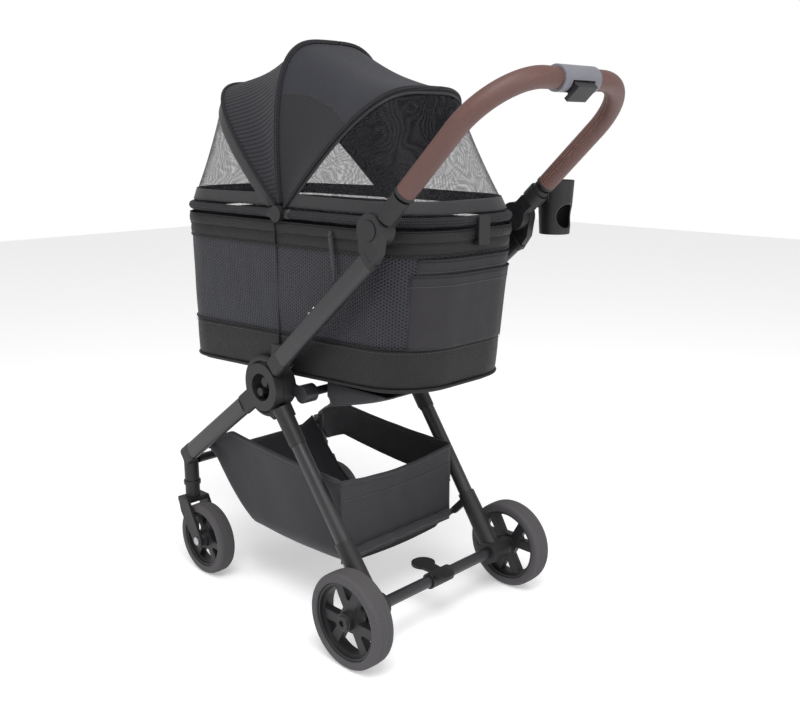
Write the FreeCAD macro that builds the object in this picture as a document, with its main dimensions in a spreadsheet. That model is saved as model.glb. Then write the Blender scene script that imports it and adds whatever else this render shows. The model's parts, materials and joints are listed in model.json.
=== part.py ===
"""Pet stroller with a lift-off carrier: a parametric assembly in millimetres.

Axes: +Z up, -Y is the front, +X is the pusher's left. The origin is on the floor under the
middle of the rear axle. Left and right pieces are made by one loop, with side = +1 or -1.
"""
import FreeCAD, Part
import Sketcher
import os
from math import atan2, cos, degrees, pi, radians, sin

V = FreeCAD.Vector
doc = FreeCAD.newDocument("PetStroller")
sheet = doc.addObject("Spreadsheet::Sheet", "dims")

SIZES = [
    # running gear
    ("rear_wheel_diameter", 175.0),
    ("rear_wheel_width", 41.3),
    ("rear_track", 437.6),
    ("front_wheel_diameter", 150.6),
    ("front_wheel_width", 36.0),
    ("front_track", 356.0),
    ("wheelbase", 492.0),
    ("caster_trail", 48.0),
    ("tyre_depth", 17.0),
    ("rim_wall", 5.0),
    ("axle_radius", 5.0),
    ("stem_radius", 8.0),
    ("turning_gap", 0.05),
    # main fold hub
    ("hub_setback", 262.0),
    ("hub_height", 449.0),
    ("hub_radius", 45.0),
    ("hub_hole_radius", 26.0),
    ("hub_sleeve_wall", 3.0),
    ("hub_outer_face", 198.5),
    ("hub_housing_depth", 19.0),
    ("knuckle_depth", 10.0),
    ("plate_gap", 0.4),
    # frame tubes
    ("tube_depth", 38.0),
    ("tube_width", 22.0),
    ("push_tube_rise", 11.4),
    ("push_tube_angle", 40.84),
    ("push_tube_length", 300.0),
    ("leg_top_height", 247.0),
    ("rear_leg_radius", 14.0),
    ("rear_leg_top_x", 175.0),
    ("rear_leg_foot_x", 165.0),
    ("caster_housing_radius", 15.0),
    ("caster_housing_foot", 158.0),
    ("cross_tube_radius", 9.0),
    # handle
    ("handle_hub_y", 31.0),
    ("handle_hub_height", 757.0),
    ("handle_hub_radius", 27.0),
    ("handle_angle", 43.6),
    ("handle_half_width", 179.0),
    ("handle_reach", 329.5),
    ("handle_corner_radius", 106.0),
    ("handle_tube_radius", 11.0),
    ("grip_radius", 16.5),
    ("grip_start", 86.0),
    ("handle_socket_end", 78.0),
    ("block_half_length", 46.0),
    ("cup_radius", 34.0),
    ("cup_height", 98.0),
    ("cup_wall", 2.5),
    # carrier
    ("carrier_centre_y", -256.0),
    ("carrier_length", 690.0),
    ("carrier_half_width", 152.0),
    ("carrier_corner_radius", 108.0),
    ("carrier_taper", 12.0),
    ("tub_floor", 470.0),
    ("tub_floor_setback", 14.0),
    ("tub_floor_tilt", 2.2),
    ("board_thickness", 7.0),
    ("tub_rim", 751.0),
    ("tub_wall", 4.0),
    ("ring_height", 765.0),
    ("ring_tube_radius", 7.5),
    ("canopy_top_apex", 301.0),
    ("canopy_top_angle", 95.0),
    ("canopy_rear_apex", 306.0),
    ("canopy_rear_angle", 44.0),
    ("canopy_front_apex", 345.0),
    ("canopy_front_angle", 137.0),
    ("canopy_skin", 2.0),
    ("pad_thickness", 28.0),
    # basket
    ("basket_rim", 300.0),
    ("basket_floor", 128.0),
    ("basket_half_width", 152.0),
    ("basket_wall", 2.5),
]

for row, (alias, value) in enumerate(SIZES, start=1):
    sheet.set("A%d" % row, alias.replace("_", " "))
    sheet.set("B%d" % row, str(value))
    sheet.setAlias("B%d" % row, alias)
doc.recompute()


class Sizes:
    """The sheet's values as attributes, for the shapes that are worked out in code."""

    def __getattr__(self, name):
        return float(sheet.get(name))


d = Sizes()
NODES = []
X_AXIS = V(1, 0, 0)
Z_AXIS = V(0, 0, 1)
TURN = {
    "Z": FreeCAD.Rotation(),
    "X": FreeCAD.Rotation(V(0, 1, 0), 90),
    "-X": FreeCAD.Rotation(V(0, 1, 0), -90),
    "Y": FreeCAD.Rotation(V(1, 0, 0), -90),
}


# ---------------------------------------------------------------- document objects

def place(obj, x, y, z, turn="Z"):
    """Place an object by expressions, so that it follows the sheet."""
    obj.Placement = FreeCAD.Placement(V(0, 0, 0), TURN[turn])
    for name, text in (("x", x), ("y", y), ("z", z)):
        obj.setExpression("Placement.Base." + name, str(text))
    return obj


def cylinder(name, radius, length, x, y, z, turn="Z"):
    obj = doc.addObject("Part::Cylinder", name)
    obj.setExpression("Radius", radius)
    obj.setExpression("Height", length)
    return place(obj, x, y, z, turn)


def cut(name, base, tool):
    obj = doc.addObject("Part::Cut", name)
    obj.Base = base
    obj.Tool = tool
    return obj


def solid(name, shape):
    """A piece whose shape is worked out in code from the sheet's values."""
    obj = doc.addObject("Part::Feature", name)
    obj.Shape = shape
    obj.Placement = shape.Placement
    return obj


def pair(name, shapes):
    """Left and right twins in one node, as two separate solids."""
    return solid(name, Part.makeCompound(shapes))


def node(obj, label):
    """Name a finished sub-part; the label is also its file name."""
    obj.Label = label
    NODES.append(obj)
    return obj


def origin_plane(body, role):
    return [f for f in body.Origin.OriginFeatures if f.Role == role][0]


def sketch_on(body, role):
    sketch = body.newObject("Sketcher::SketchObject", "Sketch")
    sketch.AttachmentSupport = (origin_plane(body, role), "")
    sketch.MapMode = "FlatFace"
    return sketch


def bind(sketch, constraint, expression):
    index = sketch.addConstraint(constraint)
    sketch.setExpression("Constraints[%d]" % index, expression)


def draw_circle(sketch, radius, x=None, y=None):
    """A circle bound to expressions; without x and y it stands on the origin."""
    edge = sketch.addGeometry(Part.Circle(V(1, 1, 0), V(0, 0, 1), 5.0))
    bind(sketch, Sketcher.Constraint("Radius", edge, 5.0), radius)
    if x is None:
        sketch.addConstraint(Sketcher.Constraint("Coincident", edge, 3, -1, 1))
        return
    bind(sketch, Sketcher.Constraint("DistanceX", -1, 1, edge, 3, 1.0), x)
    bind(sketch, Sketcher.Constraint("DistanceY", -1, 1, edge, 3, 1.0), y)


def draw_polygon(sketch, corners):
    """A closed polygon whose corners are (x, y) expressions, with a start value from the sheet."""
    start = [V(value(x), value(y), 0) for x, y in corners]
    count = len(corners)
    edges = [sketch.addGeometry(Part.LineSegment(start[k], start[(k + 1) % count])) for k in range(count)]
    for k in range(count):
        sketch.addConstraint(Sketcher.Constraint("Coincident", edges[k - 1], 2, edges[k], 1))
        x, y = corners[k]
        bind(sketch, Sketcher.Constraint("DistanceX", -1, 1, edges[k], 1, start[k].x), x)
        bind(sketch, Sketcher.Constraint("DistanceY", -1, 1, edges[k], 1, start[k].y), y)


def value(expression):
    """An expression's number now, read through a scratch cell of the sheet."""
    sheet.set("D1", "=" + expression.replace("dims.", ""))
    sheet.recompute()
    number = float(sheet.get("D1"))
    sheet.clear("D1")
    return number


def new_body(name):
    return doc.addObject("PartDesign::Body", name)


def pad(body, sketch, length, reverse=False):
    feature = body.newObject("PartDesign::Pad", "Pad")
    feature.Profile = sketch
    feature.setExpression("Length", length)
    feature.Reversed = reverse
    return feature


def around_axis(body, feature, count):
    pattern = body.newObject("PartDesign::PolarPattern", "Pattern")
    pattern.Originals = [feature]
    pattern.Axis = ([f for f in body.Origin.OriginFeatures if f.Role == "Z_Axis"][0], [""])
    pattern.Angle = 360
    pattern.Occurrences = count
    body.Tip = pattern
    return pattern


# ---------------------------------------------------------------- shapes worked out in code

def along(angle):
    """Unit vector in the side plane: 0 degrees points to the rear, 90 up, 180 to the front."""
    return V(0, cos(radians(angle)), sin(radians(angle)))


def rod(start, end, radius, end_radius=None):
    axis = end - start
    if end_radius is None:
        return Part.makeCylinder(radius, axis.Length, start, axis)
    return Part.makeCone(radius, end_radius, axis.Length, start, axis)


def oval_bar(start, end, depth, width):
    """A flat-sided tube in the side plane: depth across the tube in that plane, width along X."""
    axis = (end - start).normalize()
    across = axis.cross(X_AXIS).normalize()
    half_flat = (depth - width) / 2.0
    radius = width / 2.0
    a = start + across * half_flat
    b = start - across * half_flat
    first = Part.makeLine(a + X_AXIS * radius, b + X_AXIS * radius)
    last = Part.makeLine(b - X_AXIS * radius, a - X_AXIS * radius)
    bend = Part.Arc(b + X_AXIS * radius, b - across * radius, b - X_AXIS * radius).toShape()
    back = Part.Arc(a - X_AXIS * radius, a + across * radius, a + X_AXIS * radius).toShape()
    face = Part.Face(Part.Wire([first, bend, last, back]))
    return face.extrude(end - start)


def disc(centre, radius, x_low, x_high):
    """A cylinder along X between two distances from the middle plane."""
    base = V(min(x_low, x_high), centre.y, centre.z)
    return Part.makeCylinder(radius, abs(x_high - x_low), base, X_AXIS)


def plate(corners, x_low, x_high):
    """A flat plate in the side plane, from (y, z) corners."""
    base = min(x_low, x_high)
    points = [V(base, y, z) for y, z in corners]
    face = Part.Face(Part.makePolygon(points + points[:1]))
    return face.extrude(V(abs(x_high - x_low), 0, 0))


def strap(start, end, width, x_low, x_high):
    """A straight plate from start to end in the side plane."""
    axis = (end - start).normalize()
    across = V(0, -axis.z, axis.y) * (width / 2.0)
    corners = [start + across, end + across, end - across, start - across]
    return plate([(p.y, p.z) for p in corners], x_low, x_high)


def polyline_pipe(points, radius, bend):
    """A round tube along straight runs joined by tangent arcs."""
    edges = []
    last = points[0]
    for before, corner, after in zip(points, points[1:], points[2:]):
        into = (before - corner).normalize()
        out = (after - corner).normalize()
        half = into.getAngle(out) / 2.0
        setback = bend / abs(sin(half) / cos(half))
        first = corner + into * setback
        second = corner + out * setback
        middle_way = (into + out).normalize()
        middle = corner + middle_way * (bend / sin(half) - bend)
        if (first - last).Length > 1e-6:
            edges.append(Part.makeLine(last, first))
        edges.append(Part.Arc(first, middle, second).toShape())
        last = second
    edges.append(Part.makeLine(last, points[-1]))
    wire = Part.Wire(edges)
    start_dir = (points[1] - points[0]).normalize()
    profile = Part.Wire(Part.makeCircle(radius, points[0], start_dir))
    return wire.makePipeShell([profile], True, True)


def rounded_loop(half_width, front, rear, radius, z):
    """A rounded rectangle in plan, as a closed wire at height z."""
    left, right = half_width, -half_width
    r = radius
    k = r * (1 - cos(pi / 4))
    edges = [
        Part.makeLine(V(left, front + r, z), V(left, rear - r, z)),
        Part.Arc(V(left, rear - r, z), V(left - k, rear - k, z), V(left - r, rear, z)).toShape(),
        Part.makeLine(V(left - r, rear, z), V(right + r, rear, z)),
        Part.Arc(V(right + r, rear, z), V(right + k, rear - k, z), V(right, rear - r, z)).toShape(),
        Part.makeLine(V(right, rear - r, z), V(right, front + r, z)),
        Part.Arc(V(right, front + r, z), V(right + k, front + k, z), V(right + r, front, z)).toShape(),
        Part.makeLine(V(right + r, front, z), V(left - r, front, z)),
        Part.Arc(V(left - r, front, z), V(left - k, front + k, z), V(left, front + r, z)).toShape(),
    ]
    return Part.Wire(edges)


def tub_loop(share, inset):
    """The carrier's outline: share 0 is its floor, narrower and tilted, and share 1 its rim."""
    shrink = inset + (1.0 - share) * d.carrier_taper
    half_length = d.carrier_length / 2.0 - shrink
    centre = d.carrier_centre_y - (1.0 - share) * d.tub_floor_setback
    z = d.tub_floor + share * (d.tub_rim - d.tub_floor)
    radius = d.carrier_corner_radius - shrink
    loop = rounded_loop(d.carrier_half_width - shrink, centre - half_length, centre + half_length, radius, z)
    loop.rotate(V(0, centre, z), X_AXIS, (1.0 - share) * d.tub_floor_tilt)
    return loop


def tub_share(height):
    """A height above the tub's floor as a share of the tub's depth."""
    return height / (d.tub_rim - d.tub_floor)


def tub_solid(low, high, inset):
    """A solid of the tub's outline between two heights above its floor."""
    return Part.makeLoft([tub_loop(tub_share(low), inset), tub_loop(tub_share(high), inset)], True, True)


# ---------------------------------------------------------------- places that many pieces share

HUB = V(0, -d.hub_setback, d.hub_height)
HANDLE_HUB = V(0, d.handle_hub_y, d.handle_hub_height)
REAR_AXLE = V(0, 0, d.rear_wheel_diameter / 2.0)
CASTER_Y = -(d.wheelbase + d.caster_trail)
TUBE_X = d.hub_outer_face - d.tube_width / 2.0 + 0.5
SLEEVE_RADIUS = d.hub_hole_radius + d.hub_sleeve_wall
KNUCKLE_BORE = SLEEVE_RADIUS + 2 * d.turning_gap
HOUSING_IN = d.hub_outer_face - d.hub_housing_depth
PUSH_OUT = HOUSING_IN - d.plate_gap
PUSH_IN = PUSH_OUT - d.knuckle_depth
REAR_OUT = PUSH_IN - d.plate_gap
REAR_IN = REAR_OUT - d.knuckle_depth
FLANGE_OUT = REAR_IN - d.plate_gap
FLANGE_IN = FLANGE_OUT - d.knuckle_depth
SOCKET_START = d.hub_radius + 3.5
SOCKET_END = d.hub_radius + 36.0
PUSH_DIR = along(d.push_tube_angle)
PUSH_BASE = HUB + along(d.push_tube_angle + 90.0) * d.push_tube_rise
LEG_FOOT = V(0, CASTER_Y, d.leg_top_height)
LEG_DIR = (LEG_FOOT - HUB).normalize()
LEG_STUB = 28.0
HANDLE_DIR = along(d.handle_angle)
SIDES = (("left", 1), ("right", -1))


def at_side(point, side, x):
    return V(side * x, point.y, point.z)


def rear_leg_point(side, distance):
    """A point on the rear leg's axis, counted from the hub."""
    top = V(side * d.rear_leg_top_x, HUB.y, HUB.z)
    foot = V(side * d.rear_leg_foot_x, REAR_AXLE.y, REAR_AXLE.z)
    return top + (foot - top).normalize() * distance


REAR_LEG_LENGTH = (rear_leg_point(1, 0) - V(d.rear_leg_foot_x, 0, REAR_AXLE.z)).Length
REAR_LEG_ANGLE = degrees(atan2(REAR_AXLE.z - HUB.z, REAR_AXLE.y - HUB.y))
SLEEVE_END = 125.0
BRACKET_START = REAR_LEG_LENGTH - 128.0
SKIN_SPLIT = 1.5
SKIN_LOW = 14.0


# ---------------------------------------------------------------- wheels

def tyre(name, diameter, width, x, y, z, turn):
    """A solid tyre with a crowned tread, turned from one profile."""
    body = new_body(name)
    sketch = sketch_on(body, "XZ_Plane")
    half = width + " / 2"
    tread = diameter + " / 2"
    seat = tread + " - dims.tyre_depth"
    draw_polygon(sketch, [
        (seat, "-" + half + " + 3"),
        (seat + " + 2", "-" + half),
        (tread + " - 9", "-" + half),
        (tread + " - 3", "-" + half + " + 4"),
        (tread, "-" + half + " + 12"),
        (tread, half + " - 12"),
        (tread + " - 3", half + " - 4"),
        (tread + " - 9", half),
        (seat + " + 2", half),
        (seat, half + " - 3"),
    ])
    turned = body.newObject("PartDesign::Revolution", "Turned")
    turned.Profile = sketch
    turned.ReferenceAxis = (sketch, ["V_Axis"])
    turned.Angle = 360
    place(body, x, y, z, turn)
    return body


def rim(name, diameter, width, boss_length, x, y, z, turn):
    """A moulded rim: a ring, a boss and three spokes that split in two near the ring."""
    body = new_body(name)
    sketch = sketch_on(body, "XZ_Plane")
    ring_out = diameter + " / 2 - dims.tyre_depth - 0.1"
    ring_in = ring_out + " - dims.rim_wall"
    half = width + " / 2 - 4"
    web = "8"
    boss = "17"
    bore = "dims.axle_radius + dims.turning_gap"
    draw_polygon(sketch, [
        (bore, "-" + boss_length),
        (boss, "-" + boss_length),
        (boss, "-" + web),
        (ring_in, "-" + web),
        (ring_in, "-(" + half + ")"),
        (ring_out, "-(" + half + ")"),
        (ring_out, half),
        (ring_in, half),
        (ring_in, web),
        (boss, web),
        (boss, boss_length),
        (bore, boss_length),
    ])
    turned = body.newObject("PartDesign::Revolution", "Turned")
    turned.Profile = sketch
    turned.ReferenceAxis = (sketch, ["V_Axis"])
    turned.Angle = 360
    doc.recompute()
    whole = body.Shape.Volume
    edge = ring_in + " - 2"
    windows = []
    wide = sketch_on(body, "XY_Plane")
    draw_polygon(wide, [
        ("22", "-11"),
        ("(" + edge + ") * 0.86", "-(" + edge + ") * 0.46"),
        ("(" + edge + ") * 0.98", "-(" + edge + ") * 0.12"),
        ("(" + edge + ") * 0.98", "(" + edge + ") * 0.12"),
        ("(" + edge + ") * 0.86", "(" + edge + ") * 0.46"),
        ("22", "11"),
    ])
    windows.append(wide)
    small = sketch_on(body, "XY_Plane")
    draw_polygon(small, [
        ("-(" + edge + ") * 0.60", "-3"),
        ("-(" + edge + ") * 0.96", "-(" + edge + ") * 0.22"),
        ("-(" + edge + ") * 0.96", "(" + edge + ") * 0.22"),
        ("-(" + edge + ") * 0.60", "3"),
    ])
    windows.append(small)
    for window in windows:
        hole = body.newObject("PartDesign::Pocket", "Window")
        hole.Profile = window
        hole.setExpression("Length", web + " * 2 + 4")
        hole.Midplane = True
        around_axis(body, hole, 3)
    doc.recompute()
    if body.Shape.Volume > whole - 1000.0:
        raise RuntimeError("the wheel windows cut nothing: " + name)
    place(body, x, y, z, turn)
    return body


def make_wheels():
    for word, side in SIDES:
        turn = "X" if side > 0 else "-X"
        rear = ("%d * dims.rear_track / 2" % side, "0", "dims.rear_wheel_diameter / 2", turn)
        front = ("%d * dims.front_track / 2" % side, "-dims.wheelbase", "dims.front_wheel_diameter / 2", turn)
        node(tyre("RearTyre" + word, "dims.rear_wheel_diameter", "dims.rear_wheel_width", *rear),
             "rear_tyre_" + word)
        node(rim("RearRim" + word, "dims.rear_wheel_diameter", "dims.rear_wheel_width", "20", *rear),
             "rear_rim_" + word)
        node(tyre("FrontTyre" + word, "dims.front_wheel_diameter", "dims.front_wheel_width", *front),
             "front_tyre_" + word)
        node(rim("FrontRim" + word, "dims.front_wheel_diameter", "dims.front_wheel_width", "16", *front),
             "front_rim_" + word)


# ---------------------------------------------------------------- rear axle and brake

def make_rear_axle():
    reach = "dims.rear_track / 2 + 19"
    height = "dims.rear_wheel_diameter / 2"
    length = "2 * (" + reach + ")"
    rod_piece = cylinder("RearAxleRod", "dims.axle_radius", length, "-(" + reach + ")", "0", height, "X")
    node(rod_piece, "rear_axle_rod")
    outer = cylinder("AxleTubeOuter", "11", "288", "-144", "0", height, "X")
    bore = cylinder("AxleTubeBore", "dims.axle_radius + 0.5", "300", "-150", "0", height, "X")
    node(cut("AxleTube", outer, bore), "rear_axle_tube")

    body = new_body("BrakePedal")
    sketch = sketch_on(body, "XY_Plane")
    draw_circle(sketch, "23", "-4", "-44")
    lobe = pad(body, sketch, "5")
    second = sketch_on(body, "XY_Plane")
    draw_circle(second, "21", "4", "14")
    pad(body, second, "5")
    waist = sketch_on(body, "XY_Plane")
    draw_polygon(waist, [("-16", "-36"), ("14", "-36"), ("14", "12"), ("-10", "12")])
    pad(body, waist, "5")
    collar = sketch_on(body, "YZ_Plane")
    draw_circle(collar, "15", "0.0001", "-9")
    barrel = pad(body, collar, "56")
    barrel.Midplane = True
    hole = sketch_on(body, "YZ_Plane")
    draw_circle(hole, "11.1", "0.0001", "-9")
    bored = body.newObject("PartDesign::Pocket", "Bore")
    bored.Profile = hole
    bored.setExpression("Length", "80")
    bored.Midplane = True
    body.Tip = bored
    place(body, "-4", "0", height + " + 9")
    node(body, "brake_pedal")


def make_rear_frame():
    knuckles = []
    brackets = []
    for word, side in SIDES:
        centre = HUB
        direction = along(REAR_LEG_ANGLE)
        ring = disc(centre, d.hub_radius - 1.0, side * REAR_IN, side * REAR_OUT)
        bridge = strap(centre + direction * 34.0, centre + direction * (SOCKET_START + 22.0), 26.0,
                       side * REAR_IN, side * REAR_OUT)
        sleeve = rod(rear_leg_point(side, SOCKET_START), rear_leg_point(side, SLEEVE_END), 17.0, 15.5)
        cover_offset = V(0, -9, -5)
        cover = rod(rear_leg_point(side, 66.0) + cover_offset, rear_leg_point(side, 120.0) + cover_offset, 10.0)
        bore = disc(centre, KNUCKLE_BORE, side * (REAR_IN - 5), side * (REAR_OUT + 5))
        knuckle = ring.fuse([bridge, sleeve, cover]).cut(bore)
        knuckles.append(knuckle.removeSplitter())
        leg = rod(rear_leg_point(side, SLEEVE_END), rear_leg_point(side, BRACKET_START), d.rear_leg_radius)
        node(solid("RearLeg" + word, leg), "rear_leg_" + word)
        foot = rear_leg_point(side, REAR_LEG_LENGTH)
        neck = rod(rear_leg_point(side, BRACKET_START), foot, 17.0, 19.0)
        boss = disc(REAR_AXLE, 22.0, side * 144.0, side * (d.rear_track / 2.0 - 22.0))
        tab = strap(V(0, -70, 176), V(0, -95, 150), 14.0, side * 150.0, side * 160.0)
        hole = disc(REAR_AXLE, d.axle_radius + 0.2, side * 130.0, side * 215.0)
        bracket = neck.fuse([boss, tab]).cut(hole)
        brackets.append(bracket.removeSplitter())
    node(pair("RearKnuckles", knuckles), "rear_knuckles")
    node(pair("RearBrackets", brackets), "rear_brackets")
    bar = rod(V(-149.5, -94, 151), V(149.5, -94, 151), 6.0)
    node(solid("BasketBar", bar), "basket_rear_bar")


# ---------------------------------------------------------------- front legs, hubs and casters

def make_chassis():
    housings = []
    barrels = []
    for word, side in SIDES:
        outer = disc(HUB, d.hub_radius, side * HOUSING_IN, side * d.hub_outer_face)
        sleeve = disc(HUB, SLEEVE_RADIUS, side * FLANGE_IN, side * d.hub_outer_face)
        flange = disc(HUB, d.hub_radius - 3.0, side * FLANGE_IN, side * FLANGE_OUT)
        socket_ends = [at_side(HUB + LEG_DIR * distance, side, TUBE_X) for distance in (30.0, SOCKET_END)]
        socket = oval_bar(*socket_ends, d.tube_depth + 2.0, 2 * (TUBE_X - HOUSING_IN))
        hole = disc(HUB, d.hub_hole_radius, side * (FLANGE_IN - 5), side * (d.hub_outer_face + 5))
        web_ends = [HUB + along(angle) * 30.0 for angle in (60, 240)]
        web = strap(*web_ends, 9.0, side * HOUSING_IN, side * (HOUSING_IN + 6))
        web = web.common(disc(HUB, SLEEVE_RADIUS - 0.5, side * HOUSING_IN, side * (HOUSING_IN + 6)))
        pin_high = disc(HUB + along(60) * 12.0, 9.0, side * HOUSING_IN, side * (d.hub_outer_face - 5))
        pin_low = disc(HUB + along(240) * 12.0, 8.0, side * HOUSING_IN, side * (d.hub_outer_face - 3))
        housing = outer.fuse([sleeve, flange, socket]).cut(hole).fuse([web, pin_high, pin_low])
        housings.append(housing.removeSplitter())

        leg_top = at_side(HUB + LEG_DIR * SOCKET_END, side, TUBE_X)
        leg_end = at_side(LEG_FOOT - LEG_DIR * LEG_STUB, side, TUBE_X)
        node(solid("FrontLeg" + word, oval_bar(leg_top, leg_end, d.tube_depth - 2.0, d.tube_width - 1.0)),
             "front_leg_" + word)

        x = side * d.front_track / 2.0
        foot = d.caster_housing_foot
        barrel = rod(V(x, CASTER_Y, foot), V(x, CASTER_Y, d.leg_top_height + 8.0), d.caster_housing_radius)
        collar = rod(V(x, CASTER_Y, foot + 26), V(x, CASTER_Y, foot + 34), d.caster_housing_radius + 2.5)
        stub = oval_bar(leg_end, at_side(LEG_FOOT, side, TUBE_X), d.tube_depth, d.tube_width)
        bore = rod(V(x, CASTER_Y, foot - 1), V(x, CASTER_Y, foot + 62), d.stem_radius + d.turning_gap)
        barrels.append(barrel.fuse([collar, stub]).cut(bore).removeSplitter())

        make_caster(word, side)
    node(pair("HubHousings", housings), "hub_housings")
    node(pair("CasterHousings", barrels), "caster_housings")

    inner = d.front_track / 2.0 - d.caster_housing_radius
    bar = rod(V(-inner, CASTER_Y + 4, 236), V(inner, CASTER_Y + 4, 236), d.cross_tube_radius)
    for word, side in SIDES:
        x = side * d.front_track / 2.0
        bar = bar.cut(rod(V(x, CASTER_Y, 200), V(x, CASTER_Y, 270), d.caster_housing_radius + 0.1))
    node(solid("FrontCrossTube", bar), "front_cross_tube")


def make_caster(word, side):
    """The swivelling fork: stem, crown and two arms, with its axle bolt."""
    x = side * d.front_track / 2.0
    axle = V(x, -d.wheelbase, d.front_wheel_diameter / 2.0)
    crown_top = d.caster_housing_foot - 0.5
    crown_low = crown_top - 9.5
    half = d.front_wheel_width / 2.0 + 2.8
    arm = 6.0
    stem = rod(V(x, CASTER_Y, crown_low), V(x, CASTER_Y, d.caster_housing_foot + 60), d.stem_radius)
    crown_corner = V(x - half - arm, CASTER_Y - 16, crown_low)
    crown = Part.makeBox(2 * (half + arm), 34, crown_top - crown_low, crown_corner)
    pieces = [crown]
    bolt = []
    for hand in (1, -1):
        inner = x + hand * half
        outer = x + hand * (half + arm)
        corners = [(CASTER_Y - 16, crown_top), (CASTER_Y + 18, crown_top), (axle.y + 13, axle.z + 6),
                   (axle.y + 8, axle.z - 11), (axle.y - 10, axle.z - 11), (CASTER_Y - 8, crown_low - 22)]
        pieces.append(plate(corners, inner, outer))
        pieces.append(disc(axle, 14.0, inner, outer))
    fork = stem.fuse(pieces)
    hole = disc(axle, d.axle_radius + 0.1, x - half - arm - 1, x + half + arm + 1)
    node(solid("CasterFork" + word, fork.cut(hole).removeSplitter()), "caster_fork_" + word)
    shank = disc(axle, d.axle_radius, x - half - arm - 2, x + half + arm + 2)
    for hand in (1, -1):
        edge = x + hand * (half + arm + 0.1)
        bolt.append(disc(axle, 8.5, edge, edge + hand * 3.0))
    node(solid("FrontAxle" + word, shank.fuse(bolt).removeSplitter()), "front_axle_" + word)


def make_deck():
    """What stands inside the hubs: links, catches, deck hubs, their tube and the sling."""
    links = []
    catches = []
    hubs = []
    deck_hub = V(0, HUB.y + 67.0, HUB.z - 9.0)
    for word, side in SIDES:
        x = side * (FLANGE_IN + 3.0)
        ring = Part.makeTorus(54, 6.5, V(x, HUB.y - 46, HUB.z - 14), X_AXIS, -180, 180, 360)
        keep = Part.makeBox(30, 200, 200, V(x - 15, HUB.y - 46 - 200 + 26, HUB.z - 114))
        tab = strap(HUB + along(252) * (d.hub_radius - 1.5), HUB + along(252) * 76.0, 16.0,
                    side * FLANGE_IN, side * FLANGE_OUT)
        clear = disc(HUB, d.hub_radius - 2.95, side * (FLANGE_IN - 10), side * (FLANGE_OUT + 20))
        link = ring.common(keep).cut(clear).fuse(tab)
        links.append(largest(link))
        lug_foot = HUB.z + d.hub_radius - 7
        lug_top = lug_foot + 36
        lug_outline = [(HUB.y - 20, lug_foot), (HUB.y + 18, lug_foot), (HUB.y + 12, lug_top), (HUB.y - 14, lug_top)]
        lug = plate(lug_outline, side * FLANGE_IN, side * FLANGE_OUT)
        catches.append(largest(lug.cut(clear)))
        reach = strap(HUB + V(0, 38, -5), deck_hub, 20.0, side * FLANGE_IN, side * FLANGE_OUT)
        boss = disc(deck_hub, 17.0, side * (FLANGE_IN - 18), side * FLANGE_OUT)
        hubs.append(largest(reach.fuse(boss).cut(clear)))
    node(solid("SeatLinks", Part.makeCompound(links)), "seat_links")
    node(solid("CarrierCatches", Part.makeCompound(catches)), "carrier_catches")
    inner = FLANGE_IN - 18.0
    tube = rod(V(-inner, deck_hub.y, deck_hub.z), V(inner, deck_hub.y, deck_hub.z), 8.0)
    node(solid("DeckTube", tube.fuse(hubs).removeSplitter()), "deck_tube")

    top = d.tub_floor - 12.0
    front = deck_hub.y + 20.0
    rear = front + 150.0
    half = 110.0
    corners = [(front, top), (rear, top), (rear, top - 6), (front + 70, top - 42), (front, top - 46), (front, top)]
    section = Part.makePolygon([V(half, y, z) for y, z in corners])
    sling = Part.Face(section).extrude(V(-2 * half, 0, 0))
    node(solid("DeckSling", sling), "deck_sling")


def largest(shape):
    return max(shape.Solids, key=lambda s: s.Volume)


# ---------------------------------------------------------------- basket

def make_basket():
    """An open hammock between the front cross tube and the rear bar, with a loading gap on the right."""
    wall = d.basket_wall
    half = d.basket_half_width
    rim_z = d.basket_rim
    low = d.basket_floor
    outline = [(-522, 262), (-470, 232), (-437, 196), (-380, low + 8), (-250, low - 6), (-104, low + 12),
               (-102, rim_z - 26), (-190, rim_z - 6), (-300, rim_z + 6), (-428, rim_z + 12)]
    inside = [(-518, 268), (-468, 236), (-434, 199), (-378, low + 8 + wall), (-250, low - 6 + wall),
              (-104 - wall, low + 12 + wall), (-102 - wall, rim_z + 40), (-428, rim_z + 40),
              (-500, rim_z + 10)]
    body = plate(outline, -half, half)
    hollow = plate(inside, -half + wall, half - wall)
    shell = body.cut(hollow)
    gap_outline = [(-470, 246), (-425, 200), (-368, low + 20), (-150, low + 30), (-135, rim_z - 82),
                   (-300, rim_z - 78)]
    gap = plate(gap_outline, -half - 5, -half + wall + 5)
    shell = shell.cut(gap)
    node(solid("Basket", largest(shell).removeSplitter()), "storage_basket")


# ---------------------------------------------------------------- push frame

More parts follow.
